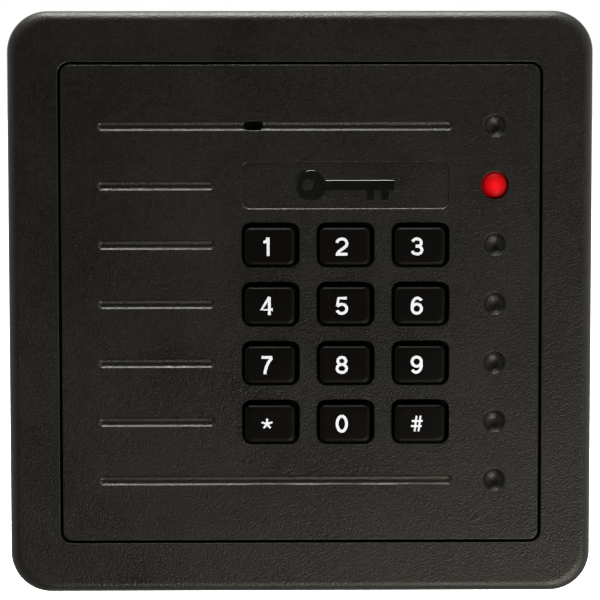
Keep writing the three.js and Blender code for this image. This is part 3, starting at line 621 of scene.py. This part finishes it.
# %% [markdown]
# ## Printed legends
# The digits are printed in white ink. Blender's own font has narrow, old-style digits, so each legend is
# drawn from a few strokes, lines and arcs, in a plain upright style. Each stroke is a thin ribbon of
# even width with square ends, laid on the key's top.

# %% Strokes
LEGEND_HEIGHT = 4.0 * MM
LEGEND_LEFT = 0.65 * MM  # the printing sits a little left of the cap's middle
LEGEND_STRETCH = 1.08  # how much wider the digits are than their strokes are drawn
LEGEND_DEPTH = 0.045 * MM
STROKE = 0.63 * MM
FINE_STROKE = 0.68  # the star and the hash have thinner strokes, as a share of a digit's stroke


def arc(x, z, wide, high, start, end, count=14):
    """Points of an ellipse arc from start to end, in degrees, counter-clockwise when end is larger."""
    points = []
    for i in range(count + 1):
        angle = math.radians(start + (end - start) * i / count)
        points.append((x + wide * math.cos(angle), z + high * math.sin(angle)))
    return points


# Each stroke's points are in parts of the legend's height, with its middle at 0.
LOW = -0.5 + 0.085
HIGH = 0.5 - 0.085
strokes = {
    "key_1": [[(-0.17, 0.235), (-0.06, 0.27), (0.03, 0.36), (0.065, 0.5)], [(0.075, 0.5), (0.075, -0.5)]],
    "key_2": [
        arc(0, 0.165, 0.255, 0.25, 172, -38, 16)
        + [(0.12, -0.06), (-0.03, -0.17), (-0.17, -0.29), (-0.235, LOW)],
        [(-0.3, LOW), (0.285, LOW)],
    ],
    "key_3": [
        arc(-0.005, 0.205, 0.22, 0.21, 165, -70, 14) + [(0.03, 0.015), (-0.07, 0.015)],
        [(-0.02, 0.015)] + arc(0, -0.195, 0.25, 0.22, 80, -165, 16),
    ],
    "key_4": [[(0.3, -0.2), (-0.27, -0.2), (0.11, 0.44), (0.13, 0.5)], [(0.13, 0.47), (0.13, -0.5)]],
    "key_5": [
        [(0.25, HIGH), (-0.17, HIGH), (-0.225, -0.03)],
        [(-0.225, -0.03)] + arc(0.0, -0.165, 0.25, 0.25, 128, -162, 18),
    ],
    "key_6": [
        arc(0.0, -0.165, 0.235, 0.25, 180, -180, 28),
        arc(0.03, 0.0, 0.265, 0.415, 42, 205, 18),
    ],
    "key_7": [
        [(-0.27, HIGH), (0.27, HIGH)],
        [(0.25, HIGH - 0.02), (0.1, 0.18), (-0.02, -0.08), (-0.08, -0.3), (-0.1, -0.5)],
    ],
    "key_8": [arc(0, 0.215, 0.2, 0.2, -90, 270, 24), arc(0, -0.195, 0.24, 0.22, 90, -270, 24)],
    "key_9": [
        arc(0.0, 0.165, 0.235, 0.25, 0, 360, 28),
        arc(-0.03, 0.0, 0.265, 0.415, -138, 25, 18),
    ],
    "key_0": [arc(0, 0, 0.235, 0.415, 90, 450, 36)],
    "key_star": [
        [(0, 0.0), (0.29 * math.cos(math.radians(a)), 0.29 * math.sin(math.radians(a)))]
        for a in (90, 162, 234, 306, 18)
    ],
    "key_hash": [
        [(-0.1, -0.43), (0.0, 0.43)],
        [(0.1, -0.43), (0.2, 0.43)],
        [(-0.24, 0.14), (0.3, 0.14)],
        [(-0.28, -0.14), (0.26, -0.14)],
    ],
}


def stroke_piece(points, width, x, z, scale, front, back):
    """One stroke as a thin solid between two y levels, with square ends."""
    count = len(points)
    left = []
    right = []
    for i, (across, up) in enumerate(points):
        before = points[max(i - 1, 0)]
        after = points[min(i + 1, count - 1)]
        along = Vector((after[0] - before[0], after[1] - before[1])).normalized()
        side = Vector((-along.y, along.x)) * width / 2
        middle = Vector((x + across * scale * LEGEND_STRETCH, z + up * scale))
        left.append(middle + side)
        right.append(middle - side)
    data = bpy.data.meshes.new("stroke")
    levels = (back, front)
    verts = [(p.x, y, p.y) for y in levels for line in (left, right) for p in line]
    faces = []
    for i in range(count - 1):
        bl, br, fl, fr = i, count + i, 2 * count + i, 3 * count + i
        faces += [
            (bl, bl + 1, br + 1, br),
            (fl, fr, fr + 1, fl + 1),
            (bl, fl, fl + 1, bl + 1),
            (br, br + 1, fr + 1, fr),
        ]
    faces += [(0, count, 3 * count, 2 * count)]
    faces += [(count - 1, 3 * count - 1, 4 * count - 1, 2 * count - 1)]
    data.from_pydata(verts, [], faces)
    stroke = bpy.data.objects.new("stroke", data)
    bpy.context.scene.collection.objects.link(stroke)
    edit(stroke)
    face_out(stroke)
    return settle(stroke, "stroke")


legends = {}
for name in key_names:
    place = centre(name)
    parts = []
    width = STROKE * (FINE_STROKE if name in ("key_star", "key_hash") else 1)
    for number, points in enumerate(strokes[name]):
        top = cap_top + 0.001 * MM * number
        x = place.x - SETTLE_LEFT - LEGEND_LEFT
        z = place.z - SETTLE_DOWN
        parts.append(stroke_piece(points, width, x, z, LEGEND_HEIGHT, top, cap_top + LEGEND_DEPTH))
    legend = joined(parts)
    legend.name = name + "_legend"
    legend.data.name = legend.name
    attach(legend, name)
    legends[name] = legend
print("legends:", len(legends))

# %% [markdown]
# ## Status light
# The light is a standard round lens with a domed front, behind a hole with a small lip. A circle is
# stepped forward into a dome, and a wider foot keeps it behind the panel.

# %% Status light
LENS_DIAMETER = 5.2 * MM
DOME_DEPTH = 1.3 * MM
foot_back = FACE_Y + 7.8 * MM
foot_front = foot_back - 1.0 * MM
dome_steps = []
for ring in range(1, 11):
    angle = math.radians(88) * ring / 10
    dome_steps.append(
        (light_low.y + DOME_DEPTH * (1 - math.sin(angle)), -LENS_DIAMETER / 2 * (1 - math.cos(angle)))
    )
lens = stepped_round(
    "status_light_lens",
    light_x,
    light_z,
    LENS_DIAMETER,
    [(foot_back, 0.35 * MM), (foot_front, 0.35 * MM), (foot_front, 0)]
    + [(light_low.y + DOME_DEPTH, 0)]
    + dome_steps,
    48,
)
legs = []
LEG_WIDTH = 0.5 * MM
LEG_CORNER = 0.08 * MM
LEG_OFFSET = 1.27 * MM
leg_steps = [(light_high.y, 0), (foot_back - 0.2 * MM, 0)]
for side in (-1, 1):
    leg_x = light_x + side * LEG_OFFSET
    legs.append(stepped_block("leg", leg_x, light_z, LEG_WIDTH, LEG_WIDTH, LEG_CORNER, leg_steps, 2))
add_to(lens, *legs)
tidy_surface(lens, 40)
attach(lens, "reader")
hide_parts("status_light")

# %% [markdown]
# ## Badge
# The recess above the keys holds a plain raised picture of a key in gloss black. It is generic and
# carries no lettering. The bow is a ring, the shaft a bar, and the bit two teeth.

# %% Badge
BADGE_FRONT = FACE_Y + 0.04 * MM
badge_steps = [(FACE_Y + BADGE_DEPTH + 0.1 * MM, 0), (BADGE_FRONT + 0.06 * MM, 0), (BADGE_FRONT, -0.06 * MM)]
bow_x = keys_middle - 7.4 * MM
badge = stepped_round("badge", bow_x, light_z, 6.6 * MM, badge_steps, 48)
bow_hole_steps = [(FACE_Y + MM, 0), (FACE_Y - MM, 0)]
cut(badge, stepped_round("bow_hole", bow_x - 0.6 * MM, light_z, 2.8 * MM, bow_hole_steps, 32))
shaft_middle = keys_middle + 3 * MM
add_to(badge, stepped_block("shaft", shaft_middle, light_z, 15.6 * MM, 2.2 * MM, 0.4 * MM, badge_steps, 4))
for offset in (8.6, 5.4):
    tooth_x = keys_middle + offset * MM
    add_to(
        badge,
        stepped_block("tooth", tooth_x, light_z - 1.7 * MM, 1.9 * MM, 3.0 * MM, 0.3 * MM, badge_steps, 4),
    )
tidy_surface(badge)
badge.name = "badge_picture"
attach(badge, "reader")

# %% [markdown]
# ## Parts seen from behind and from below
# The wall plate, the rear housing and the cable socket are seen from behind, and the security screw
# from below. Their CAD shapes are right but have knife-sharp edges, so a copy of each is merged into
# one surface and given a small bevel.

# %% Softened copies of CAD parts


def merged_copy(node):
    source = frame["nodes"][node]
    piece = source.copy()
    piece.data = source.data.copy()
    for key in list(piece.keys()):
        del piece[key]
    bpy.context.scene.collection.objects.link(piece)
    piece.parent = None
    piece.data.materials.clear()
    edit(piece)
    bpy.ops.mesh.select_all(action="SELECT")
    bpy.ops.mesh.remove_doubles(threshold=0.001 * MM)
    bpy.ops.mesh.customdata_custom_splitnormals_clear()
    bpy.ops.mesh.dissolve_limited(angle_limit=math.radians(1))
    done()
    return piece


def softened(node, name, width, body):
    piece = merged_copy(node)
    select_only(piece)
    bevel = piece.modifiers.new("soft_edges", "BEVEL")
    bevel.width = width
    bevel.segments = 2
    bevel.limit_method = "ANGLE"
    bevel.angle_limit = math.radians(50)
    bpy.ops.object.modifier_apply(modifier=bevel.name)
    settle(piece, name)
    tidy_surface(piece, 35)
    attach(piece, body)
    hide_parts(node)
    return piece


plate = softened("mounting_plate", "wall_plate", 0.22 * MM, "reader")
housing = softened("rear_housing", "housing_tub", 0.15 * MM, "reader")
socket = softened("cable_socket", "cable_socket_body", 0.1 * MM, "reader")
security = softened("security_screw", "security_screw_body", 0.06 * MM, "reader")
print("softened parts:", plate.name, housing.name, socket.name, security.name)

# %% [markdown]
# ## Rubber domes, parted from the mat
# Under each key stands a hollow rubber dome, moulded in one with the mat. It stands 2 mm high and folds
# to half of that under a pressed key, and a real dome buckles as it folds. A rigid mat would let the key's
# stem run into the dome. The mat is parted just in front of its sheet: the sheet stays whole, and each dome
# becomes a piece of its own that rides on the reader's body, like the sheet. Nothing here flattens a dome.

# %% Part the mat
DOME_HEIGHT = 2 * MM
STUB = 0.05 * MM  # the parting runs this far in front of the sheet, clear of its flat surface
PARTING_BLOCK = 120 * MM
mat_low, mat_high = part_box("key_mat")
parting_y = mat_low.y + DOME_HEIGHT - STUB


def parting_block(start_y, direction):
    middle_y = start_y + direction * PARTING_BLOCK / 2
    bpy.ops.object.select_all(action="DESELECT")
    bpy.ops.mesh.primitive_cube_add(size=PARTING_BLOCK, location=(0, middle_y, 0))
    return settle(bpy.context.object, "parting_block")


mat_sheet = cut(merged_copy("key_mat"), parting_block(parting_y, -1))
settle(mat_sheet, "key_mat_sheet")
tidy_surface(mat_sheet)
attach(mat_sheet, "reader")

dome_ring = cut(merged_copy("key_mat"), parting_block(parting_y, 1))
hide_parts("key_mat")
select_only(dome_ring)
bpy.ops.mesh.separate(type="LOOSE")
loose_domes = list(bpy.context.selected_objects)


def distance_from(place, loose):
    corners = [loose.matrix_world @ vertex.co for vertex in loose.data.vertices]
    middle = sum(corners, Vector()) / len(corners)
    return math.hypot(middle.x - place.x, middle.z - place.z)


domes = []
for name in key_names:
    place = centre(name)
    dome = min(loose_domes, key=lambda loose: distance_from(place, loose))
    loose_domes.remove(dome)
    settle(dome, f"{name}_dome")
    tidy_surface(dome)
    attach(dome, "reader")
    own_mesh(dome)
    domes.append(dome)
print("domes:", len(domes), "loose bits left over:", len(loose_domes))

# %% [markdown]
# ## Finishes
# Every finish is built from noise in object coordinates, so it stays on the part when the part moves.
# One function mixes a colour with a little cloudy variation, roughens it unevenly, raises a fine grain
# and can lighten worn edges. Each part then gives its own numbers.

# %% Finish tools


def node_at(tree, kind, **inputs):
    made = tree.nodes.new(kind)
    for socket_name, value in inputs.items():
        made.inputs[socket_name.replace("_", " ")].default_value = value
    return made


def shift_colour(colour, factor):
    return tuple(min(1, channel * factor) for channel in colour) + (1,)


def finish(
    name,
    colour,
    roughness=0.5,
    grain=0.35,
    grain_depth=0.02,
    variation=0.15,
    wear=0.5,
    metallic=0.0,
    specular=0.5,
    coat=0.0,
    rough_spread=0.08,
    stretch=(1, 1, 1),
):
    """A moulded or metal finish. grain is the size of its grains in mm, grain_depth their height in mm."""
    material = bpy.data.materials.new(name)
    material.use_nodes = True
    tree = material.node_tree
    links = tree.links
    shader = tree.nodes["Principled BSDF"]
    shader.inputs["Metallic"].default_value = metallic
    shader.inputs["Specular IOR Level"].default_value = specular
    shader.inputs["Coat Weight"].default_value = coat
    shader.inputs["Coat Roughness"].default_value = 0.12
    place = tree.nodes.new("ShaderNodeTexCoord")
    mapping = tree.nodes.new("ShaderNodeMapping")
    mapping.inputs["Scale"].default_value = stretch
    links.new(place.outputs["Object"], mapping.inputs["Vector"])

    cloud = node_at(tree, "ShaderNodeTexNoise", Scale=60.0, Detail=3.0)
    fine = node_at(tree, "ShaderNodeTexNoise", Scale=1.0 / (grain * MM), Detail=2.0)
    speck = node_at(tree, "ShaderNodeTexNoise", Scale=0.35 / (grain * MM), Detail=4.0)
    for texture in (cloud, fine, speck):
        links.new(mapping.outputs["Vector"], texture.inputs["Vector"])

    ramp = tree.nodes.new("ShaderNodeValToRGB")
    ramp.color_ramp.elements[0].position = 0.3
    ramp.color_ramp.elements[0].color = shift_colour(colour, 1 - variation)
    ramp.color_ramp.elements[1].position = 0.7
    ramp.color_ramp.elements[1].color = shift_colour(colour, 1 + variation)
    mixed = tree.nodes.new("ShaderNodeMath")
    mixed.operation = "ADD"
    half = tree.nodes.new("ShaderNodeMath")
    half.operation = "MULTIPLY"
    half.inputs[1].default_value = 0.5
    links.new(cloud.outputs["Fac"], mixed.inputs[0])
    links.new(speck.outputs["Fac"], mixed.inputs[1])
    links.new(mixed.outputs[0], half.inputs[0])
    links.new(half.outputs[0], ramp.inputs["Fac"])

    geometry = tree.nodes.new("ShaderNodeNewGeometry")
    edge = tree.nodes.new("ShaderNodeMapRange")
    edge.inputs["From Min"].default_value = 0.52
    edge.inputs["From Max"].default_value = 0.62
    edge.inputs["To Max"].default_value = wear
    links.new(geometry.outputs["Pointiness"], edge.inputs["Value"])
    worn = tree.nodes.new("ShaderNodeMath")
    worn.operation = "MULTIPLY"
    links.new(edge.outputs["Result"], worn.inputs[0])
    links.new(speck.outputs["Fac"], worn.inputs[1])
    lighten = tree.nodes.new("ShaderNodeMix")
    lighten.data_type = "RGBA"
    links.new(worn.outputs[0], lighten.inputs["Factor"])
    links.new(ramp.outputs["Color"], lighten.inputs[6])
    lighten.inputs[7].default_value = shift_colour(colour, 2.2)
    links.new(lighten.outputs[2], shader.inputs["Base Color"])

    shine = tree.nodes.new("ShaderNodeMapRange")
    shine.inputs["From Min"].default_value = 0.3
    shine.inputs["From Max"].default_value = 0.7
    shine.inputs["To Min"].default_value = roughness - rough_spread
    shine.inputs["To Max"].default_value = roughness + rough_spread
    links.new(half.outputs[0], shine.inputs["Value"])
    links.new(shine.outputs["Result"], shader.inputs["Roughness"])

    bump = tree.nodes.new("ShaderNodeBump")
    bump.inputs["Distance"].default_value = grain_depth * MM
    bump.inputs["Strength"].default_value = 1.0
    links.new(fine.outputs["Fac"], bump.inputs["Height"])
    links.new(bump.outputs["Normal"], shader.inputs["Normal"])
    return material


def wear_finish(piece, material):
    piece.data.materials.clear()
    piece.data.materials.append(material)


# %% [markdown]
# ### Charcoal plastic
# The bezel and the panel are moulded from the same warm charcoal plastic with a fine spark-eroded
# grain. The grain is about a third of a millimetre across and a tenth high. Its edges aren't lightened,
# because the panel's large flat faces would smear that light across themselves.

# %% Charcoal plastic
charcoal = finish(
    "charcoal_grain",
    (0.003, 0.0025, 0.0009),
    roughness=0.44,
    grain=0.36,
    grain_depth=0.11,
    variation=0.35,
    wear=0.0,
    specular=0.29,
)
wear_finish(bezel, charcoal)
wear_finish(face_panel, charcoal)

# %% [markdown]
# ### Painted highlight on the lower lips
# The lower lips of the grooves and of the recess catch the light as thin bright lines. The lamps alone
# light them about half as brightly as wanted, so the faces that look upwards there get a second finish:
# a base colour about three times lighter than the charcoal, which is a painted highlight, and a shinier
# surface. That the real lips are polished is a guess: only the bright lines are known.

# %% Painted highlight on the lower lips
LIP_TILT = 0.2
# A base colour about three times lighter than the charcoal is a painted highlight; the higher specular also
# makes it shinier.
painted_lip_highlight = finish(
    "charcoal_burnished",
    (0.009, 0.008, 0.006),
    roughness=0.42,
    grain=0.36,
    grain_depth=0.05,
    wear=0,
    specular=0.72,
)
face_panel.data.materials.append(painted_lip_highlight)


def near_groove(spot):
    for row, z in enumerate(row_z):
        end = keys_right + 2 * MM if row in (0, 6) else keys_left - GROOVE_TO_KEYS + 1 * MM
        if abs(spot.z - z) < GROOVE_WIDTH and spot.x < end:
            return True
    return False


def near_recess(spot):
    beside_keys = keys_left - 1 * MM < spot.x < keys_right + 1 * MM
    return beside_keys and abs(spot.z - row_z[1]) < BADGE_HEIGHT * 0.6


lip_count = 0
# Faces near a groove or the recess that tilt upwards get the painted highlight.
for polygon in face_panel.data.polygons:
    spot = polygon.center
    tilted_up = polygon.normal.z > LIP_TILT and polygon.normal.y < -LIP_TILT
    if tilted_up and spot.y < FACE_Y + GROOVE_DEPTH and (near_groove(spot) or near_recess(spot)):
        polygon.material_index = 1
        lip_count += 1
print("burnished lip faces:", lip_count)

# %% [markdown]
# ### Keys, ink and badge
# The caps are blacker and smoother than the face. The ink is white with slight thin spots. The badge
# has a clear gloss, so that its picture stands out from the matte recess by shine alone.

# %% Keys, ink and badge
key_black = finish(
    "key_black",
    (0.0014, 0.0011, 0.0007),
    roughness=0.45,
    grain=0.25,
    grain_depth=0.004,
    wear=0.3,
    specular=0.065,
)
ink = finish(
    "legend_ink",
    (0.68, 0.7, 0.78),
    roughness=0.5,
    grain=0.2,
    grain_depth=0.004,
    variation=0.04,
    wear=0,
)
gloss = finish(
    "badge_gloss",
    (0.004, 0.004, 0.004),
    roughness=0.16,
    grain=0.5,
    grain_depth=0.002,
    rough_spread=0.04,
)
for name in key_names:
    wear_finish(keys[name], key_black)
    wear_finish(legends[name], ink)
wear_finish(badge, gloss)

# %% [markdown]
# ### Red light
# The lens glows: brightest over the diode in its middle and deeper red towards its rim. The distance
# from the lens's own axis drives a colour ramp, so the glow stays in the lens.

# %% Red light
red = finish(
    "red_lens_glow", (0.03, 0.0, 0.0), roughness=0.5, grain=0.4, grain_depth=0.002, wear=0, specular=0.05
)
tree = red.node_tree
shader = tree.nodes["Principled BSDF"]
place = tree.nodes.new("ShaderNodeTexCoord")
axis = tree.nodes.new("ShaderNodeMapping")
axis.inputs["Location"].default_value = (-light_x, 0, -light_z)
flat = tree.nodes.new("ShaderNodeVectorMath")
flat.operation = "MULTIPLY"
flat.inputs[1].default_value = (1, 0, 1)
length = tree.nodes.new("ShaderNodeVectorMath")
length.operation = "LENGTH"
spread = tree.nodes.new("ShaderNodeMapRange")
spread.inputs["From Max"].default_value = LENS_DIAMETER / 2
glow = tree.nodes.new("ShaderNodeValToRGB")
glow.color_ramp.elements[0].position = 0.0
glow.color_ramp.elements[0].color = (1.0, 0.009, 0.022, 1)
glow.color_ramp.elements[1].position = 0.94
glow.color_ramp.elements[1].color = (0.2, 0.0, 0.001, 1)
middle = glow.color_ramp.elements.new(0.5)
middle.color = (0.70, 0.002, 0.005, 1)
tree.links.new(place.outputs["Object"], axis.inputs["Vector"])
tree.links.new(axis.outputs["Vector"], flat.inputs[0])
tree.links.new(flat.outputs["Vector"], length.inputs[0])
tree.links.new(length.outputs["Value"], spread.inputs["Value"])
tree.links.new(spread.outputs["Result"], glow.inputs["Fac"])
tree.links.new(glow.outputs["Color"], shader.inputs["Emission Color"])
shader.inputs["Emission Strength"].default_value = 1.0
wear_finish(lens, red)

# %% [markdown]
# ### Inside and behind
# The parts behind the face are plain engineering plastics, circuit board, rubber, copper and steel.
# They keep their CAD shapes, except the four that were softened and the mat that was parted, and take
# these finishes. How the real inner parts look isn't known, so the colours are the usual ones.

# %% Finishes of the inner parts
housing_finish = finish("housing_black", (0.02, 0.02, 0.021), roughness=0.55, grain=0.5, grain_depth=0.02)
plate_finish = finish("plate_black", (0.028, 0.027, 0.026), roughness=0.6, grain=0.5, grain_depth=0.03)
rubber_finish = finish("seal_rubber_black", (0.012, 0.012, 0.013), roughness=0.8, grain=0.3, grain_depth=0.01)
silicone = finish(
    "mat_silicone_grey", (0.14, 0.145, 0.15), roughness=0.75, grain=0.4, grain_depth=0.01, wear=0.1
)
board_green = finish(
    "board_green", (0.02, 0.11, 0.045), roughness=0.42, grain=0.6, grain_depth=0.008, coat=0.3
)
chip_black = finish("chip_epoxy", (0.012, 0.012, 0.013), roughness=0.6, grain=0.15, grain_depth=0.006)
socket_finish = finish(
    "socket_nylon", (0.5, 0.47, 0.38), roughness=0.5, grain=0.4, grain_depth=0.008, wear=0.1
)
copper = finish(
    "coil_enamel",
    (0.62, 0.24, 0.1),
    roughness=0.32,
    grain=0.25,
    grain_depth=0.03,
    metallic=1.0,
    stretch=(1, 3, 1),
)
can = finish(
    "can_aluminium", (0.6, 0.61, 0.62), roughness=0.35, grain=0.3, grain_depth=0.004,
    metallic=1.0, wear=0.2,
)
steel = finish(
    "screw_zinc", (0.52, 0.53, 0.55), roughness=0.34, grain=0.3, grain_depth=0.008,
    metallic=1.0, wear=0.3,
)
wear_finish(plate, plate_finish)
wear_finish(housing, housing_finish)
wear_finish(socket, socket_finish)
wear_finish(security, steel)
for rubber in [mat_sheet] + domes:
    wear_finish(rubber, silicone)

finish_of_slot = {
    "charcoal_plastic": charcoal,
    "key_plastic": key_black,
    "housing_plastic": housing_finish,
    "plate_plastic": plate_finish,
    "seal_rubber": rubber_finish,
    "mat_silicone": silicone,
    "circuit_board": board_green,
    "red_lens": red,
    "component_plastic": chip_black,
    "socket_plastic": socket_finish,
    "coil_copper": copper,
    "can_metal": can,
    "screw_steel": steel,
}
finish_of_node = {}
for entry in frame["record"]["subparts"]:
    finish_of_node[entry["node"]] = finish_of_slot[entry["material_slot"]]
carried = 0
for name, part in frame["nodes"].items():
    if name in finish_of_node:
        for material_slot in part.material_slots:
            material_slot.material = finish_of_node[name]
        if not part.material_slots:
            part.data.materials.append(finish_of_node[name])
        carried += 1
print("CAD parts with a finish:", carried)

# %% [markdown]
# ## Floor and light
# The reader is shown over a plain pale floor, before a white background. A lamp high above grazes the
# face and picks out the lips that look upwards. A weak, near lamp at the lower right fills the face,
# stronger near it. The surroundings are bright behind the reader and at both sides, which lights its
# rounded edges, and almost dark in front, so that the face stays dark.

# %% Floor
bpy.ops.object.select_all(action="DESELECT")
bpy.ops.mesh.primitive_plane_add(size=8, location=(0, 0, bezel_low.z - 30 * MM))
floor = bpy.context.object
floor.name = "floor"
floor_paint = bpy.data.materials.new("floor_paint")
floor_paint.use_nodes = True
floor_shader = floor_paint.node_tree.nodes["Principled BSDF"]
floor_shader.inputs["Base Color"].default_value = (0.9, 0.9, 0.9, 1)
floor_shader.inputs["Roughness"].default_value = 0.9
floor_shader.inputs["Specular IOR Level"].default_value = 0.1
floor_shader.inputs["Emission Color"].default_value = (1, 1, 1, 1)
floor_shader.inputs["Emission Strength"].default_value = 0.85
wear_finish(floor, floor_paint)
floor.visible_diffuse = False
floor.visible_glossy = False
floor.visible_shadow = False

# %% Lamps and surroundings


def soft_lamp(name, place, target, size, power, colour=(1, 1, 1)):
    data = bpy.data.lights.new(name, "AREA")
    data.shape = "SQUARE"
    data.size = size
    data.energy = power
    data.color = colour
    lamp = bpy.data.objects.new(name, data)
    lamp.location = place
    aim = Vector(target) - Vector(place)
    lamp.rotation_euler = aim.to_track_quat("-Z", "Y").to_euler()
    lamp.visible_camera = False
    bpy.context.scene.collection.objects.link(lamp)
    return lamp


soft_lamp("overhead_lamp", (-0.05, -0.03, 0.9), (0, 0, 0), 0.5, 26, (1, 0.98, 0.94))
soft_lamp("fill_lamp", (0.17, -0.35, -0.34), (0.03, -0.02, -0.03), 0.22, 3.0, (1, 0.95, 0.84))

world = bpy.data.worlds.new("white_studio")
bpy.context.scene.world = world
world.use_nodes = True
tree = world.node_tree
background = tree.nodes["Background"]
seen = tree.nodes.new("ShaderNodeBackground")
seen.inputs["Color"].default_value = (1, 1, 1, 1)
seen.inputs["Strength"].default_value = 1.0
place = tree.nodes.new("ShaderNodeTexCoord")
parts = tree.nodes.new("ShaderNodeSeparateXYZ")
behind = tree.nodes.new("ShaderNodeMapRange")
behind.inputs["From Min"].default_value = -0.1
behind.inputs["From Max"].default_value = 0.3
behind.inputs["To Min"].default_value = 0.02
behind.inputs["To Max"].default_value = 0.9
which = tree.nodes.new("ShaderNodeLightPath")
mix = tree.nodes.new("ShaderNodeMixShader")
tree.links.new(place.outputs["Generated"], parts.inputs["Vector"])
tree.links.new(parts.outputs["Y"], behind.inputs["Value"])
beside = tree.nodes.new("ShaderNodeMapRange")
beside.inputs["From Min"].default_value = 0.3
beside.inputs["To Max"].default_value = 1.7
left_side = tree.nodes.new("ShaderNodeMapRange")
left_side.inputs["From Min"].default_value = -0.3
left_side.inputs["From Max"].default_value = -1.0
left_side.inputs["To Max"].default_value = 1.1
tree.links.new(parts.outputs["X"], beside.inputs["Value"])
tree.links.new(parts.outputs["X"], left_side.inputs["Value"])
sides = tree.nodes.new("ShaderNodeMath")
sides.operation = "ADD"
tree.links.new(beside.outputs["Result"], sides.inputs[0])
tree.links.new(left_side.outputs["Result"], sides.inputs[1])
total = tree.nodes.new("ShaderNodeMath")
total.operation = "MAXIMUM"
tree.links.new(behind.outputs["Result"], total.inputs[0])
tree.links.new(sides.outputs["Value"], total.inputs[1])
tree.links.new(total.outputs["Value"], background.inputs["Strength"])
tree.links.new(which.outputs["Is Camera Ray"], mix.inputs["Fac"])
tree.links.new(background.outputs["Background"], mix.inputs[1])
tree.links.new(seen.outputs["Background"], mix.inputs[2])
tree.links.new(mix.outputs["Shader"], tree.nodes["World Output"].inputs["Surface"])
background.inputs["Color"].default_value = (1, 0.985, 0.96, 1)
bpy.context.scene.view_settings.view_transform = "Standard"
